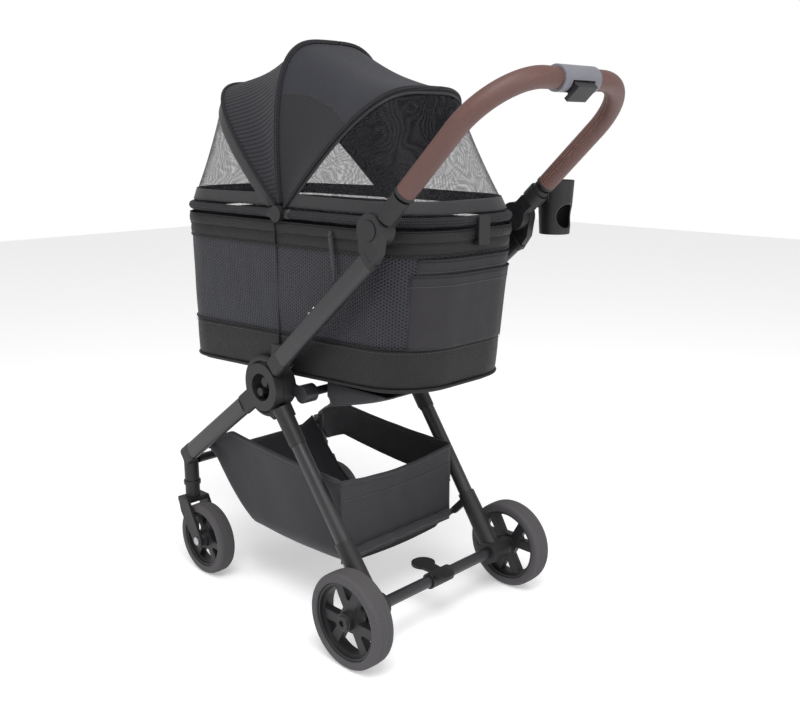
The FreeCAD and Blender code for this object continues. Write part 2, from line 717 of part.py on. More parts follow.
def make_push_frame():
    knuckles = []
    uppers = []
    for word, side in SIDES:
        start = PUSH_BASE + PUSH_DIR * SOCKET_START
        socket_end = PUSH_BASE + PUSH_DIR * SOCKET_END
        tube_end = PUSH_BASE + PUSH_DIR * (SOCKET_END + d.push_tube_length)
        ring = disc(HUB, d.hub_radius + 0.5, side * PUSH_IN, side * PUSH_OUT)
        bridge = strap(PUSH_BASE + PUSH_DIR * 34.0, PUSH_BASE + PUSH_DIR * (SOCKET_END - 4.0), 34.0,
                       side * PUSH_IN, side * PUSH_OUT)
        socket = oval_bar(at_side(start, side, TUBE_X), at_side(socket_end, side, TUBE_X),
                          d.tube_depth, d.hub_housing_depth + 1.0)
        bore = disc(HUB, KNUCKLE_BORE, side * (PUSH_IN - 5), side * (PUSH_OUT + 2))
        housing_room = disc(HUB, d.hub_radius + 0.8, side * (HOUSING_IN - 0.3), side * (d.hub_outer_face + 8))
        knuckle = ring.fuse([bridge, socket]).cut(bore).cut(housing_room)
        knuckles.append(largest(knuckle).removeSplitter())
        tube = oval_bar(at_side(socket_end, side, TUBE_X), at_side(tube_end, side, TUBE_X),
                        d.tube_depth - 2.0, d.tube_width - 1.0)
        node(solid("PushTube" + word, tube), "push_tube_" + word)

        hub_face = side * d.hub_outer_face
        cheek = side * (d.hub_outer_face - 16.5)
        end = tube_end
        across = along(d.push_tube_angle + 90.0) * (d.tube_depth / 2.0)
        stub = oval_bar(at_side(end, side, TUBE_X), at_side(end + PUSH_DIR * 12.0, side, TUBE_X),
                        d.tube_depth + 1.0, d.tube_width)
        hub_disc = disc(HANDLE_HUB, d.handle_hub_radius, cheek, hub_face)
        low = end + PUSH_DIR * 2.0
        turn_out = end + PUSH_DIR * 34.0 - across * 0.6
        corners = [low + across, low - across, turn_out, HANDLE_HUB + V(0, d.handle_hub_radius - 1.0, -6),
                   HANDLE_HUB + V(0, -d.handle_hub_radius + 3.0, -8)]
        arm = plate([(p.y, p.z) for p in corners], cheek, hub_face)
        seat = disc(HANDLE_HUB, 17.0, side * (d.hub_outer_face - 8.0), side * (d.hub_outer_face + 4.0))
        socket = stub.fuse([hub_disc, arm]).cut(seat)
        uppers.append(largest(socket).removeSplitter())

        button = disc(HANDLE_HUB, 16.5, side * (d.hub_outer_face - 5.0), side * (d.hub_outer_face + 1.5))
        node(solid("HubButton" + word, button), "hub_button_" + word)

    node(pair("PushKnuckles", knuckles), "push_knuckles")
    node(pair("UpperSockets", uppers), "upper_sockets")
    heads = []
    for word, side in SIDES:
        for share in (0.40, 0.455):
            spot = PUSH_BASE + PUSH_DIR * (SOCKET_END + d.push_tube_length * share)
            top = spot + along(d.push_tube_angle + 90.0) * (d.tube_depth / 2.0 - 1.0)
            cap = top + along(d.push_tube_angle + 90.0) * 1.8
            heads.append(rod(at_side(top, side, TUBE_X), at_side(cap, side, TUBE_X), 2.6))
    node(solid("TubeRivets", Part.makeCompound(heads)), "tube_rivets")


# ---------------------------------------------------------------- handle

def handle_point(x, distance):
    p = HANDLE_HUB + HANDLE_DIR * distance
    return V(x, p.y, p.z)


def handle_run(start):
    """The bent tube's corner points, from one socket round to the other."""
    w = d.handle_half_width
    reach = d.handle_reach
    return [handle_point(w, start), handle_point(w, reach), handle_point(-w, reach), handle_point(-w, start)]


def make_handle():
    bend = d.handle_corner_radius
    tube = polyline_pipe(handle_run(d.handle_socket_end), d.handle_tube_radius, bend)
    node(solid("HandleTube", tube), "handle_tube")

    outer = polyline_pipe(handle_run(d.grip_start), d.grip_radius, bend)
    core = polyline_pipe(handle_run(d.grip_start - 2.0), d.handle_tube_radius + 0.15, bend)
    sleeve = outer.cut(core)
    block_half = d.block_half_length
    for word, side in SIDES:
        low = block_half + 0.3 if side > 0 else -600.0
        room = Part.makeBox(600.0 - block_half - 0.3, 900, 900, V(low, -100, 500))
        node(solid("Grip" + word, largest(sleeve.common(room))), "grip_" + word)

    top = handle_point(0, d.handle_reach)
    casing = Part.makeCylinder(20.0, 2 * block_half, V(-block_half, top.y, top.z), X_AXIS)
    bore_start = V(-block_half - 2, top.y, top.z)
    bore = Part.makeCylinder(d.handle_tube_radius + 0.15, 2 * block_half + 4, bore_start, X_AXIS)
    up = along(d.handle_angle + 90.0)
    slot_room = turned_box(top + up * 16.2, 30.0, 16.0, 10.0)
    under = turned_box(top - up * 17.8, 58.0, 24.0, 12.0)
    block = casing.cut(bore).cut(slot_room).cut(under)
    node(solid("HandleBlock", largest(block)), "handle_block")
    slide = turned_box(top + up * 16.4, 16.0, 12.0, 7.0).translated(V(5, 0, 0))
    node(solid("SlideButton", slide), "slide_button")
    trigger = turned_box(top - up * 19.5, 50.0, 20.0, 10.0)
    paddle = turned_box(top - up * 24.5 - HANDLE_DIR * 4.0, 50.0, 30.0, 7.0)
    node(solid("SqueezeTrigger", trigger.fuse(paddle).removeSplitter()), "squeeze_trigger")

    sockets = []
    for word, side in SIDES:
        w = side * d.handle_half_width
        start = d.handle_hub_radius + 1.8
        leg = rod(handle_point(w, start), handle_point(w, d.handle_socket_end), 17.0, 15.5)
        inner = side * (d.hub_outer_face - 35.0)
        cheek = side * (d.hub_outer_face - 17.0)
        hub_disc = disc(HANDLE_HUB, d.handle_hub_radius - 1.0, inner, cheek)
        bridge_ends = [HANDLE_HUB + HANDLE_DIR * distance for distance in (14.0, start + 14.0)]
        bridge = strap(*bridge_ends, 28.0, inner, cheek)
        piece = leg.fuse([hub_disc, bridge])
        sockets.append(piece.removeSplitter())
    node(pair("HandleSockets", sockets), "handle_sockets")
    make_cup()


def turned_box(centre, length, depth, height):
    """A box square to the handle's plane: length along X, depth along the handle, height across it."""
    shape = Part.makeBox(length, depth, height, V(-length / 2.0, -depth / 2.0, -height / 2.0))
    shape.rotate(V(0, 0, 0), X_AXIS, d.handle_angle)
    return shape.translated(centre)


def make_cup():
    """A clamp round the right handle socket and a cup that lifts off it."""
    w = -d.handle_half_width
    low = handle_point(w, 46.0)
    high = handle_point(w, 68.0)
    band = rod(low, high, 19.5).cut(rod(handle_point(w, 40.0), handle_point(w, 74.0), 17.0))
    mid = handle_point(w, 57.0)
    arm = Part.makeBox(9.0, 14.0, 26.0, V(w - 26.0, mid.y - 7.0, mid.z - 8.0))
    hook = Part.makeBox(3.5, 22.0, 30.0, V(w - 26.0, mid.y - 11.0, mid.z - 12.0))
    clamp = band.fuse([arm, hook]).cut(rod(handle_point(w, 40.0), handle_point(w, 74.0), 17.05))
    node(solid("CupClamp", largest(clamp).removeSplitter()), "cup_clamp")

    x = w - 26.5 - d.cup_radius
    y = mid.y
    top = mid.z + 25.0
    foot = top - d.cup_height
    outer = Part.makeCone(d.cup_radius - 6.0, d.cup_radius, d.cup_height, V(x, y, foot), Z_AXIS)
    inner = Part.makeCone(d.cup_radius - 6.0 - d.cup_wall, d.cup_radius - d.cup_wall, d.cup_height,
                          V(x, y, foot + 3.0), Z_AXIS)
    scoop = Part.makeCylinder(30.0, 90.0, V(x - 45.0, y + 48.0, foot + 32.0), X_AXIS)
    cup = outer.cut(inner).cut(scoop)
    node(solid("Cup", largest(cup)), "cup")


# ---------------------------------------------------------------- carrier

def arch_point(apex, angle, turn, inset=0.0):
    """A point on a canopy hoop: turn runs from 0 at the left pivot to 180 at the right one."""
    half = d.carrier_half_width - 3.0 - inset
    x = half * sign_power(cos(radians(turn)), 0.55)
    reach = (apex - inset) * sign_power(sin(radians(turn)), 0.75)
    p = V(x, d.carrier_centre_y + 10.0, d.ring_height) + along(angle) * reach
    return V(x, p.y, p.z)


def sign_power(number, power):
    if abs(number) < 1e-9:
        return 0.0
    return number ** power if number > 0 else -((-number) ** power)


def arch_wire(apex, angle, inset=0.0, low=9.0):
    steps = 14
    turns = [low + (180.0 - 2 * low) * k / steps for k in range(steps + 1)]
    curve = Part.BSplineCurve()
    curve.interpolate([arch_point(apex, angle, t, inset) for t in turns])
    return curve


def hoop(apex, angle, radius, inset):
    curve = arch_wire(apex, angle, inset)
    wire = Part.Wire(curve.toShape())
    start = curve.value(curve.FirstParameter)
    tangent = curve.tangent(curve.FirstParameter)[0]
    profile = Part.Wire(Part.makeCircle(radius, start, tangent))
    return wire.makePipeShell([profile], True, True)


def ring_half(end):
    """Half of the canopy's lower ring, from pivot to pivot round one end (end = -1 front, +1 rear)."""
    half = d.carrier_half_width - 1.5
    centre = d.carrier_centre_y
    far = centre + end * (d.carrier_length / 2.0 - 1.5)
    near = centre + 10.0 + end * 24.0
    z = d.ring_height
    points = [V(half, near, z), V(half, far, z), V(-half, far, z), V(-half, near, z)]
    return polyline_pipe(points, d.ring_tube_radius, d.carrier_corner_radius)


def rounded_path(end, inset):
    half = d.carrier_half_width - 3.0 - inset
    centre = d.carrier_centre_y + 10.0
    far = d.carrier_centre_y + end * (d.carrier_length / 2.0 - 3.0 - inset)
    radius = d.carrier_corner_radius
    straight = abs(far - centre) - radius
    arc = radius * pi / 2.0
    across = 2 * (half - radius)
    total = 2 * straight + 2 * arc + across
    z = d.ring_height + d.ring_tube_radius + 2.0

    def at(share):
        s = min(max(share, 0.0), 1.0) * total
        mirror = 1.0
        if s > total / 2.0:
            s = total - s
            mirror = -1.0
        if s <= straight:
            return V(mirror * half, centre + end * s, z)
        s -= straight
        if s <= arc:
            turn = s / radius
            return V(mirror * (half - radius + radius * cos(turn)),
                     centre + end * (straight + radius * sin(turn)), z)
        s -= arc
        return V(mirror * (half - radius - s), far, z)
    return at


def skin(first, second, thickness):
    """A closed canopy panel between two rows of points, given a thickness towards the pivots."""
    rows = []
    for inset in (0.0, thickness):
        rows.append((first(inset), second(inset)))
    outer = Part.makeRuledSurface(rows[0][0], rows[0][1])
    inner = Part.makeRuledSurface(rows[1][0], rows[1][1])
    sides = [Part.makeRuledSurface(rows[0][k], rows[1][k]) for k in (0, 1)]
    ends = []
    for which in (0, -1):
        corners = []
        for row, line in ((0, 0), (0, 1), (1, 1), (1, 0)):
            edge = rows[row][line]
            param = edge.FirstParameter if which == 0 else edge.LastParameter
            corners.append(edge.valueAt(param))
        ends.append(Part.makeRuledSurface(Part.makeLine(corners[0], corners[1]),
                                          Part.makeLine(corners[3], corners[2])))
    shell = Part.Shell([piece.Faces[0] for piece in [outer, inner] + sides + ends])
    shell.sewShape()
    made = Part.Solid(Part.Shell(shell.Faces))
    made.fix(0.01, 0.01, 0.01)
    return made


def arch_edge(apex, angle, low):
    def make(inset):
        return arch_wire(apex, angle, inset, low).toShape()
    return make


def outline_edge(end, low):
    def make(inset):
        steps = 24
        at = rounded_path(end, inset)
        shares = [low / 180.0 + (1.0 - low / 90.0) * k / steps for k in range(steps + 1)]
        curve = Part.BSplineCurve()
        curve.interpolate([at(s) for s in shares])
        return curve.toShape()
    return make


def make_carrier():
    wall = d.tub_wall
    depth = d.tub_rim - d.tub_floor
    outer = tub_solid(0.0, depth, 0.0)
    inner = tub_solid(wall, depth + 2.0, wall)
    node(solid("Tub", outer.cut(inner)), "carrier_tub")
    node(solid("BaseBoard", tub_solid(-0.2 - d.board_thickness, -0.2, 5.0)), "base_board")
    pad_low = wall + 0.5
    node(solid("FloorPad", tub_solid(pad_low, pad_low + d.pad_thickness, wall + 6.0)), "floor_pad")

    pivots = []
    for word, side in SIDES:
        low = side * (d.carrier_half_width + 1.0)
        high = side * (d.carrier_half_width + 13.0)
        centre = V(0, d.carrier_centre_y + 10.0, d.ring_height)
        pivot = disc(centre, 15.0, low, high)
        bracket_ends = [centre + V(0, 0, drop) for drop in (-10, -34)]
        bracket = strap(*bracket_ends, 20.0, low, side * (d.carrier_half_width + 4.0))
        pivots.append(pivot.fuse(bracket).removeSplitter())
    node(solid("CanopyPivots", Part.makeCompound(pivots)), "canopy_pivots")

    node(solid("TopHoop", hoop(d.canopy_top_apex, d.canopy_top_angle, 3.0, 8.0)), "top_hoop")
    clip_y = d.carrier_centre_y + d.carrier_length / 2.0
    clip_top = d.ring_height + 8
    hook = d.tub_rim - 26
    step = d.tub_rim - 20
    clip_outline = [(clip_y + 9.5, clip_top), (clip_y + 14, clip_top), (clip_y + 14, hook), (clip_y + 2, hook),
                    (clip_y + 2, step), (clip_y + 9.5, step)]
    clip = plate(clip_outline, -14.0, 14.0)
    node(solid("RearClip", clip), "rear_clip")

    for word, end, apex, angle in (("front", -1, d.canopy_front_apex, d.canopy_front_angle),
                                   ("rear", 1, d.canopy_rear_apex, d.canopy_rear_angle)):
        node(solid("Hoop" + word, hoop(apex, angle, 3.0, 8.0)), "hoop_" + word)
        node(solid("Ring" + word, ring_half(end)), "canopy_ring_" + word)
        split = end * SKIN_SPLIT
        top_skin = skin(arch_edge(d.canopy_top_apex, d.canopy_top_angle - split, SKIN_LOW),
                        arch_edge(apex, angle + split, SKIN_LOW), d.canopy_skin)
        node(solid("CanopyTop" + word, top_skin), "canopy_top_" + word)
        end_skin = skin(arch_edge(apex, angle - split, SKIN_LOW), outline_edge(end, SKIN_LOW), d.canopy_skin)
        node(solid("CanopyEnd" + word, end_skin), "canopy_panel_" + word)


# ---------------------------------------------------------------- build, check and write

make_wheels()
make_rear_axle()
make_rear_frame()
make_chassis()
make_deck()
make_basket()
make_push_frame()
make_handle()
make_carrier()
doc.recompute()

for obj in doc.Objects:
    if "Invalid" in obj.State or "Error" in obj.State:
        raise RuntimeError("%s did not compute: %s" % (obj.Name, obj.State))
for obj in NODES:
    if obj.Shape.isNull() or not obj.Shape.isValid():
        raise RuntimeError("no valid shape: " + obj.Label)
    if not obj.Shape.Solids:
        raise RuntimeError("no solid in: " + obj.Label)

os.makedirs("parts", exist_ok=True)
for obj in NODES:
    obj.Shape.exportStep("parts/" + obj.Label + ".step")
    print("%-24s %2d solid(s) %10.0f mm3" % (obj.Label, len(obj.Shape.Solids), obj.Shape.Volume))
print(len(NODES), "nodes")
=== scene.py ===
"""Pet stroller: a lift-off mesh carrier with a hooped canopy on a folding frame.

Metres. +Z is up, -Y is the front and +X is the pusher's left. Hard parts come from the frame and
get their finish here; tyres, leatherette, knit, mesh, basket and pad are made here.
"""
import bpy
import json
from math import cos, pi, radians, sin
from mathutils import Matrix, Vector, noise


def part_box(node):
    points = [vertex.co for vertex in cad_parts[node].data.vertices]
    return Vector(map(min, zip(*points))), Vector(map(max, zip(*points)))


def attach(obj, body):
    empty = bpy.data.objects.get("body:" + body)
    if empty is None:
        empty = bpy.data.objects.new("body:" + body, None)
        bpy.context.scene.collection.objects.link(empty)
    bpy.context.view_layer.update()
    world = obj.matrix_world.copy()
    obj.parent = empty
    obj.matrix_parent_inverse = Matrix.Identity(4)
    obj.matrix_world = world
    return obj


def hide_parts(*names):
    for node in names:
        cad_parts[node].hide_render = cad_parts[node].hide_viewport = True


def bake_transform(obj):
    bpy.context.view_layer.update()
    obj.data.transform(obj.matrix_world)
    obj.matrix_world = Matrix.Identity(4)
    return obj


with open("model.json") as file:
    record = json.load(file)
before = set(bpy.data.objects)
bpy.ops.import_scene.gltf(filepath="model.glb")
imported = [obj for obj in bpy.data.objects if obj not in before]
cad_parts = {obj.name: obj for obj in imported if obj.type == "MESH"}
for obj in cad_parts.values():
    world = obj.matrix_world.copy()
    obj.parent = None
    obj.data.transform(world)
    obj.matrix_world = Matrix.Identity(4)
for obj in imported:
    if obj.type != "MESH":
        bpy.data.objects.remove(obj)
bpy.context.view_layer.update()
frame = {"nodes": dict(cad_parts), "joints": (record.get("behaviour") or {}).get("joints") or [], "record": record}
NODES = frame["nodes"]
JOINTS = {joint["name"]: joint for joint in frame["joints"]}
SIDES = (("left", 1.0), ("right", -1.0))


# ---------------------------------------------------------------- shader toolbox

class Net:
    """Short ways to place and join shader nodes in one node tree."""

    def __init__(self, tree):
        self.tree = tree

    def add(self, kind, **settings):
        made = self.tree.nodes.new(kind)
        for name, value in settings.items():
            setattr(made, name, value)
        return made

    def put(self, socket, source):
        if isinstance(source, bpy.types.NodeSocket):
            self.tree.links.new(source, socket)
        elif source is not None:
            socket.default_value = source

    def maths(self, operation, a, b=None, c=None):
        made = self.add("ShaderNodeMath", operation=operation)
        for socket, source in zip(made.inputs, (a, b, c)):
            self.put(socket, source)
        return made.outputs[0]

    def between(self, value, low, high):
        """0 below low, 1 above high, smooth in between."""
        made = self.add("ShaderNodeMapRange", interpolation_type="SMOOTHSTEP")
        self.put(made.inputs["Value"], value)
        self.put(made.inputs["From Min"], low)
        self.put(made.inputs["From Max"], high)
        return made.outputs["Result"]

    def scaled(self, value, low, high):
        """A 0 to 1 value stretched to low to high."""
        made = self.add("ShaderNodeMapRange")
        self.put(made.inputs["Value"], value)
        self.put(made.inputs["To Min"], low)
        self.put(made.inputs["To Max"], high)
        return made.outputs["Result"]

    def blend(self, share, first, second):
        made = self.add("ShaderNodeMix", data_type="RGBA")
        self.put(made.inputs[0], share)
        self.put(made.inputs[6], first)
        self.put(made.inputs[7], second)
        return made.outputs[2]

    def cloud(self, vector, scale, detail=2.0):
        made = self.add("ShaderNodeTexNoise")
        self.put(made.inputs["Vector"], vector)
        self.put(made.inputs["Scale"], scale)
        self.put(made.inputs["Detail"], detail)
        return made.outputs["Fac"]

    def cells(self, vector, scale, feature="F1"):
        made = self.add("ShaderNodeTexVoronoi", feature=feature)
        self.put(made.inputs["Vector"], vector)
        self.put(made.inputs["Scale"], scale)
        return made.outputs["Distance"]

    def axes(self, vector):
        made = self.add("ShaderNodeSeparateXYZ")
        self.put(made.inputs[0], vector)
        return made.outputs

    def wave(self, value, pitch):
        """A cosine of the given pitch, from -1 to 1."""
        turns = self.maths("MULTIPLY_ADD", value, 2.0 * pi / pitch, 0.0)
        return self.maths("COSINE", turns)


def effect(name, inputs, outputs):
    """A node group with its own named sockets; gives the net and both ends."""
    tree = bpy.data.node_groups.new(name, "ShaderNodeTree")
    for label, kind, start in inputs:
        socket = tree.interface.new_socket(label, in_out="INPUT", socket_type=kind)
        if start is not None:
            socket.default_value = start
    for label in outputs:
        tree.interface.new_socket(label, in_out="OUTPUT", socket_type="NodeSocketFloat")
    net = Net(tree)
    return net, net.add("NodeGroupInput").outputs, net.add("NodeGroupOutput").inputs


NUMBER = "NodeSocketFloat"
PLACE = "NodeSocketVector"


def make_moulding_grain():
    """Fine pebbling of moulded plastic and powder coat."""
    net, given, out = effect("moulding_grain", [("Vector", PLACE, None), ("Grains", NUMBER, 1200.0)],
                             ["Height", "Tone"])
    fine = net.cloud(given["Vector"], given["Grains"], 1.0)
    broad = net.cloud(given["Vector"], 14.0, 3.0)
    net.put(out["Height"], fine)
    net.put(out["Tone"], broad)


def make_edge_wear():
    """Where corners have rubbed: sharp edges, broken up."""
    net, given, out = effect("edge_wear", [("Vector", PLACE, None), ("Amount", NUMBER, 0.5)], ["Mask"])
    sharp = net.add("ShaderNodeNewGeometry").outputs["Pointiness"]
    edge = net.between(sharp, 0.515, 0.60)
    broken = net.between(net.cloud(given["Vector"], 90.0, 4.0), 0.38, 0.66)
    rubbed = net.maths("MULTIPLY", edge, broken)
    net.put(out["Mask"], net.maths("MULTIPLY", rubbed, given["Amount"]))


def make_dust():
    """A light settling of dust on what faces up."""
    net, given, out = effect("dust", [("Vector", PLACE, None), ("Amount", NUMBER, 0.2)], ["Mask"])
    normal = net.axes(net.add("ShaderNodeNewGeometry").outputs["Normal"])
    upward = net.between(normal["Z"], 0.3, 1.0)
    patchy = net.scaled(net.cloud(given["Vector"], 22.0, 4.0), 0.3, 1.0)
    settled = net.maths("MULTIPLY", upward, patchy)
    net.put(out["Mask"], net.maths("MULTIPLY", settled, given["Amount"]))


def make_leather_grain():
    """Pebbled leatherette: small rounded cells between fine creases."""
    net, given, out = effect("leather_grain", [("Vector", PLACE, None), ("Cells", NUMBER, 700.0)],
                             ["Height", "Crease", "Tone"])
    crease = net.cells(given["Vector"], given["Cells"], "DISTANCE_TO_EDGE")
    wide = net.cells(given["Vector"], net.maths("MULTIPLY", given["Cells"], 0.37), "DISTANCE_TO_EDGE")
    pebble = net.between(crease, 0.0, 0.22)
    fold = net.between(wide, 0.0, 0.12)
    net.put(out["Height"], net.maths("MULTIPLY_ADD", fold, 0.6, pebble))
    # Crease: 1 in the creases between pebbles; it drives the painted shade there and the roughness
    net.put(out["Crease"], net.maths("SUBTRACT", 1.0, net.maths("MULTIPLY", pebble, fold)))
    net.put(out["Tone"], net.cloud(given["Vector"], 24.0, 4.0))


def make_hexagon_net():
    """Knitted mesh with small six-sided holes; Vector is in metres on the cloth."""
    net, given, out = effect("hexagon_net", [("Vector", PLACE, None), ("Pitch", NUMBER, 0.003)],
                             ["Height", "Hole"])
    across = net.axes(given["Vector"])
    turns = net.maths("DIVIDE", 2.0 * pi, given["Pitch"])
    rows = []
    for angle in (0.0, 60.0, 120.0):
        x_part = net.maths("MULTIPLY", across["X"], cos(radians(angle)))
        along = net.maths("MULTIPLY_ADD", across["Y"], sin(radians(angle)), x_part)
        rows.append(net.maths("COSINE", net.maths("MULTIPLY", along, turns)))
    summed = net.maths("ADD", net.maths("ADD", rows[0], rows[1]), rows[2])
    level = net.maths("MULTIPLY_ADD", summed, 0.2222, 0.3333)
    net.put(out["Hole"], net.between(level, 0.52, 0.78))
    net.put(out["Height"], net.maths("SUBTRACT", 1.0, level))


def make_thread_weave():
    """Plain weave: threads over and under; Vector is in metres on the cloth. Shade holds painted shade, darker
    where a thread dips under, plus random slub tone.
    """
    net, given, out = effect("thread_weave", [("Vector", PLACE, None), ("Pitch", NUMBER, 0.0011)],
                             ["Height", "Shade"])
    place = net.axes(given["Vector"])
    turns = net.maths("DIVIDE", pi, given["Pitch"])
    warp = net.maths("SINE", net.maths("MULTIPLY", place["X"], turns))
    weft = net.maths("SINE", net.maths("MULTIPLY", place["Y"], turns))
    over = net.maths("MULTIPLY", warp, weft)
    slub = net.cloud(given["Vector"], 240.0, 2.0)
    net.put(out["Height"], net.maths("MULTIPLY_ADD", over, 0.5, 0.5))
    # Shade: painted shade, lighter where a thread rides over and darker where it dips under, plus random slub tone
    net.put(out["Shade"], net.maths("MULTIPLY_ADD", over, 0.22, slub))


def make_rib_knit():
    """Ribbed knit: raised cords across the cloth, each a column of stitches. Shade is painted shade, lighter on
    the cords and loops and darker in the valleys between them.
    """
    net, given, out = effect("rib_knit", [("Vector", PLACE, None), ("Rib", NUMBER, 0.006),
                                          ("Stitch", NUMBER, 0.0022)], ["Height", "Shade"])
    place = net.axes(given["Vector"])
    rib_turns = net.maths("DIVIDE", 2.0 * pi, given["Rib"])
    stitch_turns = net.maths("DIVIDE", 2.0 * pi, given["Stitch"])
    cord = net.maths("COSINE", net.maths("MULTIPLY", place["X"], rib_turns))
    loop = net.maths("COSINE", net.maths("MULTIPLY", place["Y"], stitch_turns))
    cord_high = net.between(cord, -0.9, 0.5)
    loops = net.maths("MULTIPLY_ADD", loop, 0.18, cord_high)
    net.put(out["Height"], loops)
    # Shade: painted shade, high on the raised cords and loops, low in the valleys between them
    net.put(out["Shade"], net.maths("MULTIPLY_ADD", loop, 0.12, cord_high))


def make_braid():
    """Spacer mesh sleeve: slanted cells pulled over a tube; X runs along it and Y around it. Shade is painted
    shade, lighter on the raised cells and darker in their hollows.
    """
    net, given, out = effect("braid", [("Vector", PLACE, None), ("Pitch", NUMBER, 0.004)],
                             ["Height", "Shade"])
    place = net.axes(given["Vector"])
    turns = net.maths("DIVIDE", 2.0 * pi, given["Pitch"])
    lean = net.maths("MULTIPLY", place["Y"], 0.6)
    one = net.maths("COSINE", net.maths("MULTIPLY", net.maths("ADD", place["X"], lean), turns))
    other = net.maths("COSINE", net.maths("MULTIPLY", net.maths("SUBTRACT", place["X"], lean), turns))
    both = net.maths("MULTIPLY", one, other)
    net.put(out["Height"], net.maths("MULTIPLY_ADD", both, 0.5, 0.5))
    # Shade: painted shade, lighter on the raised cells and darker in the hollows between them
    net.put(out["Shade"], net.between(both, -0.6, 0.7))


def make_sheer_net():
    """See-through net: how much of the view its threads cover, with drifting moire rings."""
    net, given, out = effect("sheer_net", [("Vector", PLACE, None), ("Cover", NUMBER, 0.55),
                                           ("Ripple", NUMBER, 0.18)], ["Cover", "Height"])
    place = net.axes(given["Vector"])
    drift = net.cloud(given["Vector"], 9.0, 1.5)
    warped = net.maths("MULTIPLY_ADD", drift, 0.16, net.maths("MULTIPLY", place["X"], 0.25))
    rings = net.wave(warped, 0.006)
    fine = net.wave(place["Y"], 0.0021)
    mixed = net.maths("MULTIPLY_ADD", fine, 0.25, rings)
    ripple = net.maths("MULTIPLY", mixed, given["Ripple"])
    net.put(out["Cover"], net.maths("ADD", given["Cover"], ripple))
    net.put(out["Height"], fine)


for build in (make_moulding_grain, make_edge_wear, make_dust, make_leather_grain, make_hexagon_net,
              make_thread_weave, make_rib_knit, make_braid, make_sheer_net):
    build()


class Finish(Net):
    """A material: its Principled shader, the place on the piece and a chain of bumps."""

    def __init__(self, name, colour, roughness, **constants):
        self.material = bpy.data.materials.new(name)
        self.material.use_nodes = True
        super().__init__(self.material.node_tree)
        self.shader = self.tree.nodes["Principled BSDF"]
        self.colour = (*colour, 1.0)
        self.shader.inputs["Base Color"].default_value = self.colour
        self.shader.inputs["Roughness"].default_value = roughness
        for label, value in constants.items():
            self.shader.inputs[label.replace("_", " ")].default_value = value
        places = self.add("ShaderNodeTexCoord")
        self.body = places.outputs["Object"]
        self.cloth = places.outputs["UV"]
        self.last_bump = None

    def group(self, name, **given):
        made = self.add("ShaderNodeGroup")
        made.node_tree = bpy.data.node_groups[name]
        for label, source in given.items():
            self.put(made.inputs[label], source)
        return made.outputs

    def paint(self, source):
        self.put(self.shader.inputs["Base Color"], source)

    def rough(self, source):
        self.put(self.shader.inputs["Roughness"], source)

    def bump(self, height, distance, strength=1.0):
        made = self.add("ShaderNodeBump")
        made.inputs["Distance"].default_value = distance
        made.inputs["Strength"].default_value = strength
        self.put(made.inputs["Height"], height)
        if self.last_bump is not None:
            self.put(made.inputs["Normal"], self.last_bump)
        self.last_bump = made.outputs["Normal"]
        self.put(self.shader.inputs["Normal"], self.last_bump)

    def tinted(self, share, factor, onto=None):
        """The finish's colour moved towards a lighter or darker tone of itself."""
        base = onto if onto is not None else self.colour
        tone = tuple(min(1.0, c * factor) for c in self.colour[:3]) + (1.0,)
        return self.blend(share, base, tone)


# ---------------------------------------------------------------- finishes

def moulded(name, colour, roughness, grains=1300.0, wear=0.35, dust=0.04, depth=0.00012, **constants):
    """Moulded plastic or powder coat with grain, rubbed edges and a little dust."""
    finish = Finish(name, colour, roughness, **constants)
    grain = finish.group("moulding_grain", Vector=finish.body, Grains=grains)
    wear_mask = finish.group("edge_wear", Vector=finish.body, Amount=wear)["Mask"]
    dust_mask = finish.group("dust", Vector=finish.body, Amount=dust)["Mask"]
    toned = finish.tinted(grain["Tone"], 1.35)
    worn = finish.tinted(wear_mask, 3.0, toned)
    finish.paint(finish.blend(dust_mask, worn, (0.16, 0.155, 0.15, 1.0)))
    spread = finish.scaled(grain["Tone"], roughness - 0.07, roughness + 0.09)
    finish.rough(finish.maths("MULTIPLY_ADD", dust_mask, 0.5, spread))
    finish.bump(grain["Height"], depth, 0.35)
    return finish.material


def leatherette(name, colour, roughness, cells=800.0, depth=0.00018, **constants):
    """Coated cloth with a pebbled skin, with painted shade darkening its creases."""
    finish = Finish(name, colour, roughness, **constants)
    grain = finish.group("leather_grain", Vector=finish.body, Cells=cells)
    dust_mask = finish.group("dust", Vector=finish.body, Amount=0.03)["Mask"]
    toned = finish.tinted(grain["Tone"], 1.4)
    # painted shade: the colour is darkened in the creases of the grain
    crease_shaded = finish.tinted(finish.maths("MULTIPLY", grain["Crease"], 0.6), 0.45, toned)
    finish.paint(finish.blend(dust_mask, crease_shaded, (0.15, 0.14, 0.13, 1.0)))
    finish.rough(finish.scaled(grain["Crease"], roughness - 0.05, roughness + 0.18))
    soft = finish.cloud(finish.body, 55.0, 2.0)
    finish.bump(soft, 0.0015, 0.18)
    finish.bump(grain["Height"], depth, 0.6)
    return finish.material


def woven(name, colour, pitch=0.0011, roughness=0.78, **constants):
    """Plain woven cloth, crumpled a little and faintly fuzzy."""
    finish = Finish(name, colour, roughness, Sheen_Weight=0.12, Sheen_Roughness=0.5, **constants)
    weave = finish.group("thread_weave", Vector=finish.cloth, Pitch=pitch)
    dust_mask = finish.group("dust", Vector=finish.body, Amount=0.04)["Mask"]
    # painted shade between the threads, from the weave's Shade, plus slub tone
    shade = finish.tinted(weave["Shade"], 1.9)
    crumple = finish.cloud(finish.body, 30.0, 4.0)
    toned = finish.tinted(finish.maths("MULTIPLY", crumple, 0.35), 0.5, shade)
    finish.paint(finish.blend(dust_mask, toned, (0.12, 0.12, 0.13, 1.0)))
    finish.rough(finish.scaled(weave["Height"], roughness + 0.08, roughness - 0.08))
    finish.bump(crumple, 0.004, 0.25)
    finish.bump(weave["Height"], 0.0003, 0.5)
    return finish.material


